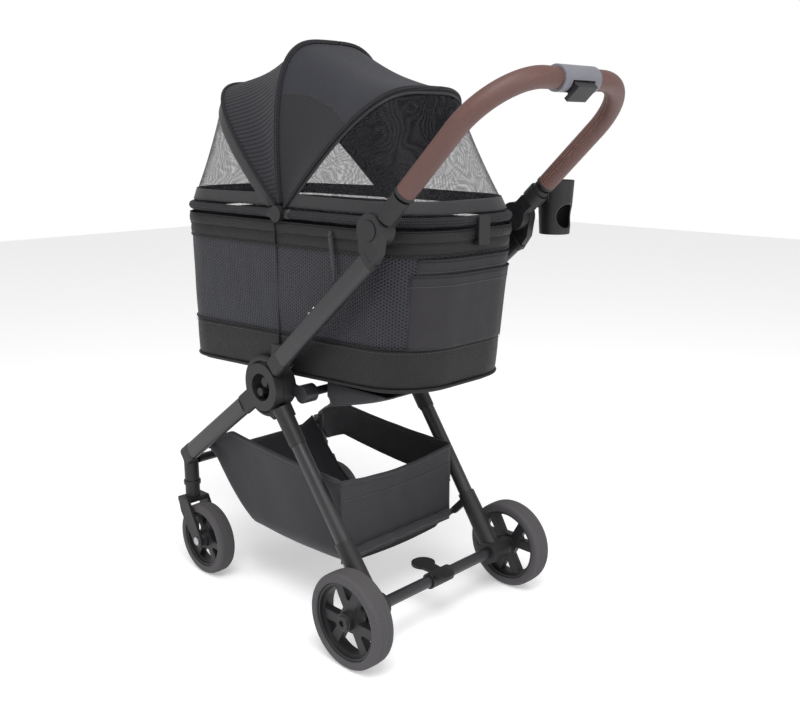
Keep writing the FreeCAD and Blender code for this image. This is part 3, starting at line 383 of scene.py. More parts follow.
def wall_mesh():
    """The carrier wall's air mesh; its six-sided holes are painted near-black as the shade inside them."""
    finish = Finish("carrier_air_mesh", (0.0115, 0.0120, 0.0165), 0.62, Specular_IOR_Level=0.35,
                    Sheen_Weight=0.05)
    mesh = finish.group("hexagon_net", Vector=finish.cloth, Pitch=0.0056)
    tone = finish.cloud(finish.body, 16.0, 3.0)
    threads = finish.tinted(tone, 2.0)
    # painted shade: the mesh holes are coloured near-black for the shade inside them
    finish.paint(finish.blend(mesh["Hole"], threads, (0.003, 0.003, 0.004, 1.0)))
    finish.rough(finish.scaled(mesh["Hole"], 0.52, 0.95))
    finish.bump(mesh["Height"], 0.0016, 1.0)
    return finish.material


def hexagon_knit():
    """Canopy top: fine six-sided knit above, plain stretch cloth below the side seam."""
    finish = Finish("canopy_knit", (0.017, 0.0175, 0.0225), 0.82, Specular_IOR_Level=0.3,
                    Sheen_Weight=0.09, Sheen_Roughness=0.45)
    knit = finish.group("hexagon_net", Vector=finish.cloth, Pitch=0.0034)
    plain = finish.group("thread_weave", Vector=finish.cloth, Pitch=0.0009)
    lower = finish.add("ShaderNodeAttribute", attribute_name="side_panel").outputs["Fac"]
    side = finish.between(lower, 0.495, 0.505)
    tone = finish.scaled(finish.cloud(finish.body, 12.0, 3.0), 0.2, 0.9)
    upper_tone = finish.tinted(tone, 1.7)
    # painted shade: the knit's holes are coloured near-black for the shade inside them
    knit_tone = finish.blend(knit["Hole"], upper_tone, (0.006, 0.006, 0.008, 1.0))
    # painted shade between the plain cloth's threads, from the weave's Shade, plus its slub tone
    side_tone = finish.blend(plain["Shade"], (0.010, 0.010, 0.012, 1.0), (0.024, 0.024, 0.028, 1.0))
    finish.paint(finish.blend(side, knit_tone, side_tone))
    height = finish.add("ShaderNodeMix", data_type="FLOAT")
    finish.put(height.inputs[0], side)
    finish.put(height.inputs[2], knit["Height"])
    finish.put(height.inputs[3], finish.maths("MULTIPLY", plain["Height"], 0.2))
    finish.bump(height.outputs[0], 0.0006, 0.7)
    return finish.material


def ribbed_knit():
    """Canopy front: raised cords across the cloth."""
    finish = Finish("canopy_ribs", (0.018, 0.0185, 0.023), 0.82, Specular_IOR_Level=0.3,
                    Sheen_Weight=0.08, Sheen_Roughness=0.45)
    knit = finish.group("rib_knit", Vector=finish.cloth, Rib=0.0085, Stitch=0.0024)
    tone = finish.cloud(finish.body, 12.0, 3.0)
    toned = finish.tinted(tone, 1.5)
    # painted shade: the colour is darkened in the valleys between the cords
    finish.paint(finish.tinted(finish.maths("SUBTRACT", 1.0, knit["Shade"]), 0.35, toned))
    finish.bump(knit["Height"], 0.0009, 0.8)
    return finish.material


def sheer():
    """The see-through end panels."""
    finish = Finish("window_net", (0.016, 0.016, 0.019), 0.6, Specular_IOR_Level=0.25)
    net = finish.group("sheer_net", Vector=finish.cloth, Cover=0.25, Ripple=0.075)
    facing = finish.add("ShaderNodeLayerWeight")
    facing.inputs["Blend"].default_value = 0.5
    grazing = finish.between(facing.outputs["Facing"], 0.55, 1.0)
    cover = finish.maths("MULTIPLY_ADD", grazing, 0.30, net["Cover"])
    finish.put(finish.shader.inputs["Alpha"], cover)
    finish.paint(finish.tinted(net["Height"], 1.6))
    return finish.material


def sleeve_mesh():
    finish = Finish("spacer_sleeve", (0.0045, 0.0045, 0.0058), 0.75, Specular_IOR_Level=0.3,
                    Sheen_Weight=0.04)
    braid = finish.group("braid", Vector=finish.cloth, Pitch=0.0062)
    # painted shade: lighter on the raised cells, darker in the hollows between them
    finish.paint(finish.tinted(braid["Shade"], 3.2))
    finish.rough(finish.scaled(braid["Shade"], 0.85, 0.55))
    finish.bump(braid["Height"], 0.0014, 0.9)
    return finish.material


def tyre_rubber():
    finish = Finish("tyre_rubber", (0.050, 0.047, 0.050), 0.75, Specular_IOR_Level=0.4)
    grain = finish.group("moulding_grain", Vector=finish.body, Grains=900.0)
    dust_mask = finish.group("dust", Vector=finish.body, Amount=0.15)["Mask"]
    wear_mask = finish.group("edge_wear", Vector=finish.body, Amount=0.4)["Mask"]
    toned = finish.tinted(grain["Tone"], 1.4)
    worn = finish.tinted(wear_mask, 1.9, toned)
    finish.paint(finish.blend(dust_mask, worn, (0.20, 0.19, 0.18, 1.0)))
    finish.rough(finish.scaled(grain["Tone"], 0.62, 0.85))
    finish.bump(grain["Height"], 0.0002, 0.5)
    return finish.material


def bright_steel():
    finish = Finish("zinc_steel", (0.33, 0.33, 0.34), 0.34, Metallic=1.0)
    grain = finish.group("moulding_grain", Vector=finish.body, Grains=600.0)
    finish.paint(finish.tinted(grain["Tone"], 1.5))
    finish.rough(finish.scaled(grain["Height"], 0.26, 0.46))
    finish.bump(grain["Height"], 0.00008, 0.3)
    return finish.material


def quilted():
    finish = Finish("pad_quilt", (0.05, 0.05, 0.057), 0.85, Sheen_Weight=0.1)
    weave = finish.group("thread_weave", Vector=finish.body, Pitch=0.0012)
    # painted shade between the threads, from the weave's Shade, plus slub tone
    finish.paint(finish.tinted(weave["Shade"], 1.5))
    finish.bump(weave["Height"], 0.0003, 0.5)
    return finish.material


def stitch_thread():
    finish = Finish("stitch_thread", (0.030, 0.028, 0.030), 0.6, Sheen_Weight=0.2)
    twist = finish.group("thread_weave", Vector=finish.body, Pitch=0.0006)
    # painted shade in the low places of the twist, from the weave's Shade, plus slub tone
    finish.paint(finish.tinted(twist["Shade"], 1.6))
    finish.bump(twist["Height"], 0.0002, 0.6)
    return finish.material


PAINT = moulded("frame_powder_coat", (0.0125, 0.0120, 0.0138), 0.38, 1500.0, 0.30, 0.03, 0.00010,
                Specular_IOR_Level=0.5, Coat_Weight=0.08, Coat_Roughness=0.35)
PLASTIC = moulded("frame_moulding", (0.0095, 0.009, 0.0102), 0.48, 1000.0, 0.35, 0.04,
                  Specular_IOR_Level=0.4)
BLOCK = moulded("handle_block_grey", (0.125, 0.125, 0.145), 0.38, 1200.0, 0.25, 0.05)
BUTTON = moulded("button_gloss", (0.008, 0.008, 0.0095), 0.24, 900.0, 0.3, 0.05, 0.00005)
RIM = moulded("wheel_moulding", (0.012, 0.0115, 0.013), 0.46, 900.0, 0.35, 0.08,
              Specular_IOR_Level=0.4)
HOOP = moulded("hoop_plastic", (0.006, 0.006, 0.007), 0.45, 900.0, 0.2, 0.0)
BOARD = moulded("base_board", (0.007, 0.007, 0.008), 0.6, 500.0, 0.2, 0.0)
STEEL = bright_steel()
GRIP = leatherette("grip_leatherette", (0.105, 0.042, 0.033), 0.36, 900.0, 0.00022, Coat_Weight=0.1,
                   Coat_Roughness=0.4, Specular_IOR_Level=0.55)
BAND = leatherette("band_leatherette", (0.0085, 0.0075, 0.0088), 0.44, 520.0, 0.00035,
                   Specular_IOR_Level=0.34)
POCKET = leatherette("pocket_cloth", (0.019, 0.017, 0.020), 0.50, 1300.0, 0.00018,
                     Specular_IOR_Level=0.35)
RUBBER = tyre_rubber()
WALL = wall_mesh()
KNIT = hexagon_knit()
RIBS = ribbed_knit()
NET = sheer()
SLEEVE = sleeve_mesh()
POLYESTER = woven("basket_polyester", (0.0125, 0.0125, 0.0155), 0.0013)
TAPE = woven("binding_tape", (0.0065, 0.0065, 0.008), 0.0009, 0.7)
QUILT = quilted()
THREAD = stitch_thread()


# ---------------------------------------------------------------- mesh toolbox

def make_piece(name, verts, faces, material, uvs=None):
    """A mesh object; uvs gives a (u, v) in metres for each vertex of each face."""
    mesh = bpy.data.meshes.new(name)
    mesh.from_pydata([tuple(v) for v in verts], [], faces)
    if uvs is not None:
        layer = mesh.uv_layers.new(name="cloth")
        flat = [number for face in uvs for uv in face for number in uv]
        layer.data.foreach_set("uv", flat)
    mesh.materials.append(material)
    mesh.update()
    mesh.shade_smooth()
    piece = bpy.data.objects.new(name, mesh)
    bpy.context.scene.collection.objects.link(piece)
    return piece


def lengths(points):
    """Distance along a row of points, starting at 0."""
    total = [0.0]
    for a, b in zip(points, points[1:]):
        total.append(total[-1] + (b - a).length)
    return total


def grid_piece(name, rows, material, closed=False):
    """A sheet through rows of points. Each row runs along the cloth's X and rows step along its Y."""
    count = len(rows[0])
    middle = rows[len(rows) // 2]
    across = lengths(middle + middle[:1] if closed else middle)
    upward = lengths([row[count // 2] for row in rows])
    verts = [p for row in rows for p in row]
    faces = []
    uvs = []
    for r in range(len(rows) - 1):
        for c in range(count if closed else count - 1):
            d = (c + 1) % count
            faces.append((r * count + c, r * count + d, (r + 1) * count + d, (r + 1) * count + c))
            left, right = across[c], across[c + 1]
            low, high = upward[r], upward[r + 1]
            uvs.append(((left, low), (right, low), (right, high), (left, high)))
    return make_piece(name, verts, faces, material, uvs)


def thicken(piece, thickness, offset=0.0):
    """Real cloth thickness, applied."""
    made = piece.modifiers.new("thickness", "SOLIDIFY")
    made.thickness = thickness
    made.offset = offset
    apply_modifiers(piece)
    return piece


def apply_modifiers(piece):
    graph = bpy.context.evaluated_depsgraph_get()
    made = bpy.data.meshes.new_from_object(piece.evaluated_get(graph), depsgraph=graph)
    old = piece.data
    piece.modifiers.clear()
    piece.data = made
    made.name = old.name
    bpy.data.meshes.remove(old)


def soften(piece, levels=1):
    made = piece.modifiers.new("soften", "SUBSURF")
    made.levels = levels
    made.render_levels = levels
    apply_modifiers(piece)
    return piece


def sweep(name, points, radius, material, closed=False, sides=10, flat=1.0, up=Vector((0, 0, 1))):
    """A round or flattened tube along points. radius may be a function of the share along."""
    count = len(points)
    along = lengths(points)
    rows = []
    for i, p in enumerate(points):
        before = points[i - 1] if i > 0 or closed else points[0]
        after = points[(i + 1) % count] if i < count - 1 or closed else points[-1]
        heading = (after - before).normalized()
        side = heading.cross(up)
        if side.length < 1e-4:
            side = heading.cross(Vector((1, 0, 0)))
        side.normalize()
        rise = side.cross(heading).normalized()
        size = radius(along[i] / max(along[-1], 1e-9)) if callable(radius) else radius
        rows.append([p + (side * cos(a) + rise * sin(a) * flat) * size
                     for a in (2 * pi * k / sides for k in range(sides))])
    girth = 2 * pi * (radius(0.5) if callable(radius) else radius)
    verts = [p for row in rows for p in row]
    faces = []
    uvs = []
    for r in range(count if closed else count - 1):
        s = (r + 1) % count
        step = (points[s] - points[r]).length
        for c in range(sides):
            d = (c + 1) % sides
            faces.append((r * sides + c, s * sides + c, s * sides + d, r * sides + d))
            low, high = girth * c / sides, girth * (c + 1) / sides
            uvs.append(((along[r], low), (along[r] + step, low), (along[r] + step, high), (along[r], high)))
    if not closed:
        first, last = len(verts), len(verts) + 1
        verts += [points[0], points[-1]]
        end = (count - 1) * sides
        for c in range(sides):
            d = (c + 1) % sides
            faces.append((first, c, d))
            faces.append((last, end + d, end + c))
            uvs.append(((0.0, 0.0),) * 3)
            uvs.append(((0.0, 0.0),) * 3)
    return make_piece(name, verts, faces, material, uvs)


def join(name, pieces):
    """Several made pieces as one object."""
    verts = []
    faces = []
    slots = []
    uvs = []
    smooth = []
    for piece in pieces:
        start = len(verts)
        verts += [v.co.copy() for v in piece.data.vertices]
        layer = piece.data.uv_layers[0].data if piece.data.uv_layers else None
        for face in piece.data.polygons:
            faces.append([start + v for v in face.vertices])
            uvs.append([tuple(layer[k].uv) if layer else (0.0, 0.0) for k in face.loop_indices])
            smooth.append(piece.data.materials[face.material_index])
    materials = []
    for material in smooth:
        if material not in materials:
            materials.append(material)
        slots.append(materials.index(material))
    made = make_piece(name, verts, faces, materials[0], uvs)
    for material in materials[1:]:
        made.data.materials.append(material)
    made.data.polygons.foreach_set("material_index", slots)
    for piece in pieces:
        bpy.data.objects.remove(piece)
    return made


def stitches(name, points, normals, length, gap, thick, material=None):
    """A row of short raised threads along points, each lying on the surface."""
    along = lengths(points)
    made = []
    place = 0.0
    while place + length < along[-1]:
        ends = []
        for s in (place, place + length / 2, place + length):
            k = max(i for i, a in enumerate(along) if a <= s)
            k = min(k, len(points) - 2)
            share = (s - along[k]) / max(along[k + 1] - along[k], 1e-9)
            lift = 0.0 if s != place + length / 2 else thick * 0.5
            ends.append(points[k].lerp(points[k + 1], share) + normals[k] * lift)
        made.append(sweep(name + "_bit", ends, thick, material or THREAD, sides=6))
        place += length + gap
    return join(name, made)


def turned(name, profile, centre, axis, material, steps=64, shape=None):
    """A piece turned round an axis along X or Z; profile is (radius, distance along the axis)."""
    rows = []
    for radius, along in profile:
        row = []
        for k in range(steps):
            a = 2 * pi * k / steps
            r = radius + (shape(a, radius, along) if shape else 0.0)
            if axis == "X":
                row.append(centre + Vector((along, r * cos(a), r * sin(a))))
            else:
                row.append(centre + Vector((r * cos(a), r * sin(a), along)))
        rows.append(row)
    return grid_piece(name, rows, material, closed=True)


def cloth(piece, body_or_blend, thickness, flat, node=None, offset=0.0):
    piece["flat_area"] = sum(face.area for face in piece.data.polygons)
    thicken(piece, thickness, offset)
    if isinstance(body_or_blend, str):
        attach(piece, body_or_blend)
    else:
        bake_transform(piece)
    if node:
        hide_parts(*node)
    width, length = flat
    scale = max(1.0, (piece["flat_area"] / (width * length)) ** 0.5)
    width, length = width * scale, length * scale
    return piece


def riding(piece, body, nodes=()):
    """A piece that rides on one body, in place of the nodes it stands for."""
    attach(piece, body)
    if nodes:
        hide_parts(*nodes)
    return piece


# ---------------------------------------------------------------- hard parts from the frame

FINISH_OF_SLOT = {
    "frame_paint": PAINT, "frame_plastic": PLASTIC, "grey_plastic": BLOCK, "button_plastic": BUTTON,
    "steel": STEEL, "grip_leather": GRIP, "tyre_rubber": RUBBER, "rim_plastic": RIM,
    "carrier_fabric": WALL, "canopy_fabric": KNIT, "ring_fabric": SLEEVE, "hoop_plastic": HOOP,
    "basket_fabric": POLYESTER, "pad_fabric": QUILT, "board_plastic": BOARD,
}
EDGE_ROUND = 0.0009
FINE_ENOUGH = 12500
SMOOTH_ANGLE = radians(32.0)


def finish_hard_parts():
    """Every node from the frame gets its material and smooth curves; all but the densest meshes also get rounded
    edges.
    """
    for part in frame["record"]["subparts"]:
        node = NODES[part["node"]]
        node.data.materials.clear()
        node.data.materials.append(FINISH_OF_SLOT[part["material_slot"]])
        weld = node.modifiers.new("weld", "WELD")
        weld.merge_threshold = 0.00002
        if len(node.data.polygons) < FINE_ENOUGH:
            bevel = node.modifiers.new("rounded_edges", "BEVEL")
            bevel.width = EDGE_ROUND
            bevel.segments = 2
            bevel.limit_method = "ANGLE"
            bevel.angle_limit = SMOOTH_ANGLE
        node.data.shade_smooth()
        smooth = node.modifiers.new("even_normals", "WEIGHTED_NORMAL")
        smooth.keep_sharp = False


# ---------------------------------------------------------------- tyres and wheel caps

TREAD_RIBS = 5
TREAD_STEPS = 26
KNURL_DEPTH = 0.0014
GROOVE_DEPTH = 0.0008
GROOVE_SHARE = 0.16
CROWN_RISE = 0.0004
TYRE_DEPTH = 0.017
TYRE_SHOULDER = 0.0085
KNURLED_DEPTH = 0.004


def make_tyre(word, which, diamonds):
    """A solid tyre: rounded shoulders, and a knurled tread with grooves round it."""
    low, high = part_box("%s_tyre_%s" % (which, word))
    centre = (low + high) / 2
    outer = (high.z - low.z) / 2
    half = (high.x - low.x) / 2
    seat = outer - TYRE_DEPTH
    shoulder = TYRE_SHOULDER
    profile = [(seat, -half * 0.80), (seat, -half * 0.93), (seat + 0.0015, -half), (outer - shoulder, -half)]
    for k in range(1, 7):
        a = radians(15.0 * k)
        profile.append((outer - shoulder + shoulder * sin(a) * 0.98, -half + shoulder * (1 - cos(a))))
    tread = half - shoulder
    for k in range(1, TREAD_STEPS):
        x = -tread + 2 * tread * k / TREAD_STEPS
        crown = CROWN_RISE * (1 - (x / tread) ** 2)
        profile.append((outer - shoulder * 0.02 + crown - CROWN_RISE, x))
    profile += [(r, -x) for r, x in reversed(profile[:10])]

    def knurl(angle, radius, along):
        if radius < outer - KNURLED_DEPTH:
            return 0.0
        share = along / tread
        lean = 2 * pi * along / (2 * pi * outer / diamonds)
        pattern = cos(diamonds * angle + lean) * cos(diamonds * angle - lean)
        groove = 1.0 if abs(cos(share * pi * TREAD_RIBS / 2)) < GROOVE_SHARE else 0.0
        return -KNURL_DEPTH * (0.5 - 0.5 * pattern) - GROOVE_DEPTH * groove

    tyre = turned("%s_wheel_tyre_%s" % (which, word), profile, centre, "X", RUBBER, diamonds * 8, knurl)
    riding(tyre, "%s_wheel_%s" % (which, word), ["%s_tyre_%s" % (which, word)])


def make_wheel_caps(word, which):
    """The domed hub caps on both faces of a wheel."""
    low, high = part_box("%s_rim_%s" % (which, word))
    centre = (low + high) / 2
    rim_half = (high.x - low.x) / 2
    caps = []
    for hand in (1.0, -1.0):
        face = centre + Vector((hand * rim_half * 0.98, 0, 0))
        profile = [(0.0135, 0.0), (0.0135, hand * 0.0022), (0.0125, hand * 0.0034), (0.0105, hand * 0.0040),
                   (0.0095, hand * 0.0034), (0.0055, hand * 0.0040), (0.0058, hand * 0.0030)]
        caps.append(turned("cap_bit", profile, face, "X", RIM, 40))
    cap = join("%s_wheel_caps_%s" % (which, word), caps)
    riding(cap, "%s_wheel_%s" % (which, word))


# ---------------------------------------------------------------- carrier shell

TUB_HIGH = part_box("carrier_tub")[1]
TAPER = 0.012
CORNER = 0.108
FLOOR_SETBACK = 0.014
FLOOR_TILT = radians(2.2)
TUB_DEPTH = 0.281
RIM_Z = TUB_HIGH.z
FLOOR_Z = RIM_Z - TUB_DEPTH
RIM_HALF = TUB_HIGH.x
RIM_CENTRE = -0.256
RIM_HALF_LENGTH = 0.345
UPPER_BAND = 0.043
LOWER_BAND = 0.076


def round_rectangle(half_width, half_length, radius):
    """Perimeter and a walker: from the rear middle to the left, the front, the right and back."""
    across = half_width - radius
    along = half_length - radius
    arc = radius * pi / 2
    total = 4 * (across + along + arc)
    runs = ((across, 0), (arc, 1), (2 * along, 0), (arc, 1), (2 * across, 0), (arc, 1), (2 * along, 0),
            (arc, 1), (across, 0))

    def walk(distance):
        left = distance % total
        x, y, turn = 0.0, half_length, 0.0
        for length, bends in runs:
            step = min(left, length)
            if bends:
                after = turn + step / radius
                x += radius * (sin(after) - sin(turn))
                y += radius * (cos(after) - cos(turn))
                turn = after
            else:
                x += step * cos(turn)
                y -= step * sin(turn)
            left -= step
            if left <= 1e-12:
                break
        return Vector((x, y, 0.0)), Vector((sin(turn), cos(turn), 0.0))
    return total, walk


def tub_point(share, height, out=0.0):
    """On the carrier's wall: share runs round it from the rear middle, height from floor 0 to rim 1."""
    low = 1.0 - height
    shrink = low * TAPER
    total, walk = round_rectangle(RIM_HALF - shrink, RIM_HALF_LENGTH - shrink, CORNER - shrink)
    p, normal = walk(share * total)
    p += normal * out
    tilt = low * FLOOR_TILT
    y = RIM_CENTRE - low * FLOOR_SETBACK + p.y * cos(tilt)
    z = FLOOR_Z + height * (RIM_Z - FLOOR_Z) + p.y * sin(tilt)
    return Vector((p.x, y, z))


def tub_rows(low, high, out, across, upward, start=0.0, end=1.0):
    """Rows of wall points between two heights; out(share, part) says how far each stands out."""
    rows = []
    closed = end - start > 0.999
    for r in range(upward + 1):
        part = r / upward
        height = low + (high - low) * part
        row = []
        for c in range(across if closed else across + 1):
            share = start + (end - start) * c / across
            row.append(tub_point(share, height, out(share, part)))
        rows.append(row)
    return rows


def height_share(metres):
    return metres / (RIM_Z - FLOOR_Z)


UPPER_LOW = 1.0 - height_share(UPPER_BAND)
LOWER_HIGH = height_share(LOWER_BAND)
WALL_LOW = 0.01
WALL_SPAN = 0.975
SEWN_SHARE = 0.52


def wall_belly(share, part):
    """The mesh wall bellies a little and has soft uneven folds."""
    open_wall = (WALL_LOW + WALL_SPAN * part - LOWER_HIGH) / (UPPER_LOW - LOWER_HIGH)
    belly = sin(pi * min(max(open_wall, 0.0), 1.0))
    fold = noise.noise(Vector((share * 34.0, part * 2.2, 0.3)))
    ripple = noise.noise(Vector((share * 90.0, part * 3.5, 7.0)))
    return 0.0003 + belly * (0.0010 + 0.0022 * fold + 0.0009 * ripple)


def upper_roll(share, part):
    """The rolled band under the rim: two rounded folds with a sewn line between them."""
    if part > SEWN_SHARE:
        roll = sin(pi * (part - SEWN_SHARE) / 0.48) ** 0.5 if part < 1.0 else 0.0
        base = 0.0030 + 0.0034 * roll
    else:
        roll = sin(pi * part / SEWN_SHARE) ** 0.6 if part > 0.0 else 0.0
        base = 0.0022 + 0.0026 * roll
    return base + 0.0007 * noise.noise(Vector((share * 60.0, part * 2.0, 3.0)))


def lower_wrap(share, part):
    """The base band, drawn smooth round the foot of the wall."""
    soft = 0.0007 * noise.noise(Vector((share * 40.0, part * 1.5, 11.0)))
    return 0.0028 + 0.0012 * sin(pi * part) + soft


def rim_line(height, out, steps=220):
    """Points right round the wall at one height."""
    return [tub_point(k / steps, height, out) for k in range(steps)]


def carrier_girth(height):
    """Length once round the wall at a height."""
    shrink = (1.0 - height) * TAPER
    return round_rectangle(RIM_HALF - shrink, RIM_HALF_LENGTH - shrink, CORNER - shrink)[0]


def seam_share(height, side):
    """The share at which the wall's side is level with the canopy pivots."""
    shrink = (1.0 - height) * TAPER
    half_width, half_length = RIM_HALF - shrink, RIM_HALF_LENGTH - shrink
    radius = CORNER - shrink
    total = round_rectangle(half_width, half_length, radius)[0]
    reach = (half_width - radius) + radius * pi / 2 + (half_length - radius)
    share = reach / total
    return share if side > 0 else 1.0 - share


SEAM_RADIUS = 0.0019
STITCH_LENGTH = 0.0040
STITCH_GAP = 0.0022
STITCH_THICKNESS = 0.00035


def make_carrier_shell():
    """The wall mesh and the two leatherette bands that hold it."""
    wall = grid_piece("carrier_wall_mesh", tub_rows(WALL_LOW, 0.985, wall_belly, 300, 34), WALL, closed=True)
    cloth(wall, "carrier", 0.0022, (carrier_girth(0.5), RIM_Z - FLOOR_Z),
          ["carrier_tub"], -1.0)
    upper = grid_piece("carrier_rim_band", tub_rows(UPPER_LOW, 1.0, upper_roll, 260, 16), BAND, closed=True)
    cloth(upper, "carrier", 0.0016, (carrier_girth(0.9), UPPER_BAND * 1.15),
          None, 1.0)
    lower = grid_piece("carrier_base_band", tub_rows(0.0, LOWER_HIGH, lower_wrap, 260, 8), BAND, closed=True)
    cloth(lower, "carrier", 0.0014, (carrier_girth(0.1), LOWER_BAND),
          None, 1.0)


def make_carrier_piping():
    """Piping along the bands' edges and the upright seam on each side."""
    sewn = UPPER_LOW + SEWN_SHARE * (1 - UPPER_LOW)
    lines = [("upper_hem", UPPER_LOW, 0.0042, 0.0013), ("sewn_line", sewn, 0.0046, 0.0007),
             ("lower_hem", LOWER_HIGH, 0.0046, 0.0013), ("base_edge", 0.0, 0.0038, 0.0024),
             ("rim_edge", 1.0, 0.0042, 0.0012)]
    made = [sweep(name, rim_line(height, out), radius, BAND, closed=True, sides=8)
            for name, height, out, radius in lines]
    stretches = ((LOWER_HIGH, UPPER_LOW, 0.0030), (UPPER_LOW, 1.0, 0.0066), (0.0, LOWER_HIGH, 0.0054))
    for word, side in SIDES:
        for low, high, out in stretches:
            steps = [low + (high - low) * k / 20 for k in range(21)]
            points = [tub_point(seam_share(h, side), h, out) for h in steps]
            made.append(sweep("seam_" + word, points, SEAM_RADIUS, BAND, sides=8, up=Vector((0, 1, 0))))
    riding(join("carrier_piping", made), "carrier")


def make_carrier_stitching():
    """A row of stitches just inside each band's sewn edge."""
    rows = []
    for name, height, out in (("upper_stitch", UPPER_LOW + 0.05 * (1 - UPPER_LOW), 0.0050),
                              ("lower_stitch", LOWER_HIGH * 0.90, 0.0056)):
        steps = 200
        points = [tub_point(k / steps, height, out) for k in range(steps + 1)]
        normals = [(tub_point(k / steps, height, 0.01) - tub_point(k / steps, height, 0.0)).normalized()
                   for k in range(steps + 1)]
        rows.append(stitches(name, points, normals, STITCH_LENGTH, STITCH_GAP, STITCH_THICKNESS))
    riding(join("carrier_stitching", rows), "carrier")


POCKET_HALF = 0.130
INNER_POCKET_HALF = POCKET_HALF - 0.010
INNER_POCKET_TOP = 0.232
OUTER_POCKET_TOP = 0.205


def make_pocket():
    """Two open pockets, one on the other, on the rear wall above the leatherette."""
    girth = carrier_girth(0.6)
    layers = (("rear_pocket_inner", INNER_POCKET_HALF, 0.30, height_share(INNER_POCKET_TOP), 0.0040),
              ("rear_pocket_outer", POCKET_HALF, LOWER_HIGH - 0.01, height_share(OUTER_POCKET_TOP), 0.0062))
    for name, half, low, high, stand in layers:
        start, end = -half / girth, half / girth

        def slack(share, part, stand=stand, half=half, girth=girth):
            across = 1.0 - abs(share * girth / half) ** 2.6
            gape = 0.0045 * part ** 3 * across
            fold = 0.0014 * noise.noise(Vector((share * 70.0, part * 2.5, stand * 900)))
            return stand * (0.45 + 0.55 * across ** 0.5 if across > 0 else 0.45) + gape + fold * across

        rows = tub_rows(low, high, slack, 60, 18, start, end)
        sheet = grid_piece(name, rows, POCKET)
        top = sweep(name + "_hem", [p + Vector((0, 0.0004, 0)) for p in rows[-1]], 0.0016, POCKET, sides=8)
        edges = [[row[k] for row in rows] for k in (0, -1)]
        seams = [sweep(name + "_side", edge, 0.0011, POCKET, sides=6, up=Vector((0, 1, 0))) for edge in edges]
        fold = [a.lerp(b, 0.5) + Vector((0, 0.0012, 0)) for a, b in zip(rows[-3], rows[-4])]
        line = sweep(name + "_line", fold, 0.0005, THREAD, sides=6)
        cloth(sheet, "carrier", 0.0013, (2 * half, (high - low) * (RIM_Z - FLOOR_Z)),
              None)
        riding(join(name + "_trim", [top, line] + seams), "carrier")


def make_side_straps():
    """A short flat strap hangs from the rim on each side, held by a rivet."""
    for word, side in SIDES:
        top = Vector((side * (RIM_HALF + 0.0085), -0.102, RIM_Z - 0.006))
        hang = [(0.0, 0.0, 0.0), (0.0010, 0.001, -0.020), (-0.0015, 0.004, -0.050), (-0.0025, 0.006, -0.084)]
        points = [top + Vector((side * x, y, z)) for x, y, z in hang]
        rows = [[p + Vector((0, offset, 0)) for offset in (-0.0045, 0.0, 0.0045)] for p in points]
        strap = soften(grid_piece("side_strap_" + word, rows, TAPE))
        cloth(strap, "carrier", 0.0014, (0.010, 0.086), None)
        profile = [(0.0, 0.0022), (0.0022, 0.0019), (0.0036, 0.0010), (0.0040, 0.0)]
        rivet = turned("side_rivet_" + word, [(r, side * z) for r, z in profile],
                       top + Vector((side * 0.0012, 0, -0.006)), "X", BUTTON, 24)
        riding(rivet, "carrier")


COVER_SAG = 0.0075


def make_base_cover():
    """The underside: cloth drawn over the base board."""
    rows = []
    rings = 10
    middle = RIM_CENTRE - FLOOR_SETBACK
    for r in range(rings + 1):
        share = 0.03 + 0.97 * r / rings
        row = []
        for k in range(160):
            edge = tub_point(k / 160, 0.0, -0.004)
            y = middle + (edge.y - middle) * share
            slope = (y - middle) * sin(FLOOR_TILT)
            drop = COVER_SAG * (1.0 - 0.75 * share ** 8)
            row.append(Vector((edge.x * share, y, FLOOR_Z + slope - drop)))
        rows.append(row)
    cover = grid_piece("base_cover", rows, POLYESTER, closed=True)
    cloth(cover, "carrier", 0.0010, (2 * RIM_HALF, 2 * RIM_HALF_LENGTH), None)


PAD_HEIGHT = 0.020
PAD_INSET = 0.014
PAD_LIFT = 0.006
PAD_VOXEL = 0.006
PAD_PRESSURE = 4.0
PAD_SWELL_LIMIT = 0.009
QUILT_LENGTH = 0.110
QUILT_WIDTH = 0.090
QUILT_DEPTH = 0.0035
QUILT_LINE_SHARE = 0.07


def make_floor_pad():
    """A quilted pad, puffed up by a short cloth simulation."""
    rows = []
    steps = 120
    levels = [(0.72, 0.0), (0.97, 0.0), (1.0, 0.3), (1.0, 0.7), (0.97, 1.0), (0.72, 1.0)]
    foot = 0.008
    middle = RIM_CENTRE - FLOOR_SETBACK
    for reach, part in levels:
        row = []
        for k in range(steps):
            edge = tub_point(k / steps, foot, -PAD_INSET)
            y = middle + (edge.y - middle) * reach
            rise = (y - middle) * sin(FLOOR_TILT)
            row.append(Vector((edge.x * reach, y, FLOOR_Z + PAD_LIFT + rise + PAD_HEIGHT * part)))
        rows.append(row)
    pad = grid_piece("floor_pad_quilt", rows, QUILT, closed=True)
    mesh = pad.data
    count = len(mesh.vertices)
    verts = [v.co.copy() for v in mesh.vertices]
    faces = [list(face.vertices) for face in mesh.polygons]
    faces.append(list(range(steps))[::-1])
    faces.append([count - steps + k for k in range(steps)])
    bpy.data.objects.remove(pad)
    pad = make_piece("floor_pad_quilt", verts, faces, QUILT)
    remesh = pad.modifiers.new("remesh", "REMESH")
    remesh.mode = "VOXEL"
    remesh.voxel_size = PAD_VOXEL
    apply_modifiers(pad)
    inflate(pad, PAD_PRESSURE, PAD_SWELL_LIMIT)
    for vertex in pad.data.vertices:
        along = abs(((vertex.co.y - middle) / QUILT_LENGTH) % 1.0 - 0.5)
        across = abs((vertex.co.x / QUILT_WIDTH + 0.5) % 1.0 - 0.5)
        if vertex.normal.z > 0.3:
            sewn = max(0.0, 1.0 - min(along, across) / QUILT_LINE_SHARE)
            vertex.co.z -= QUILT_DEPTH * sewn ** 2
    pad.data.shade_smooth()
    soften(pad)
    riding(pad, "carrier", ["floor_pad"])


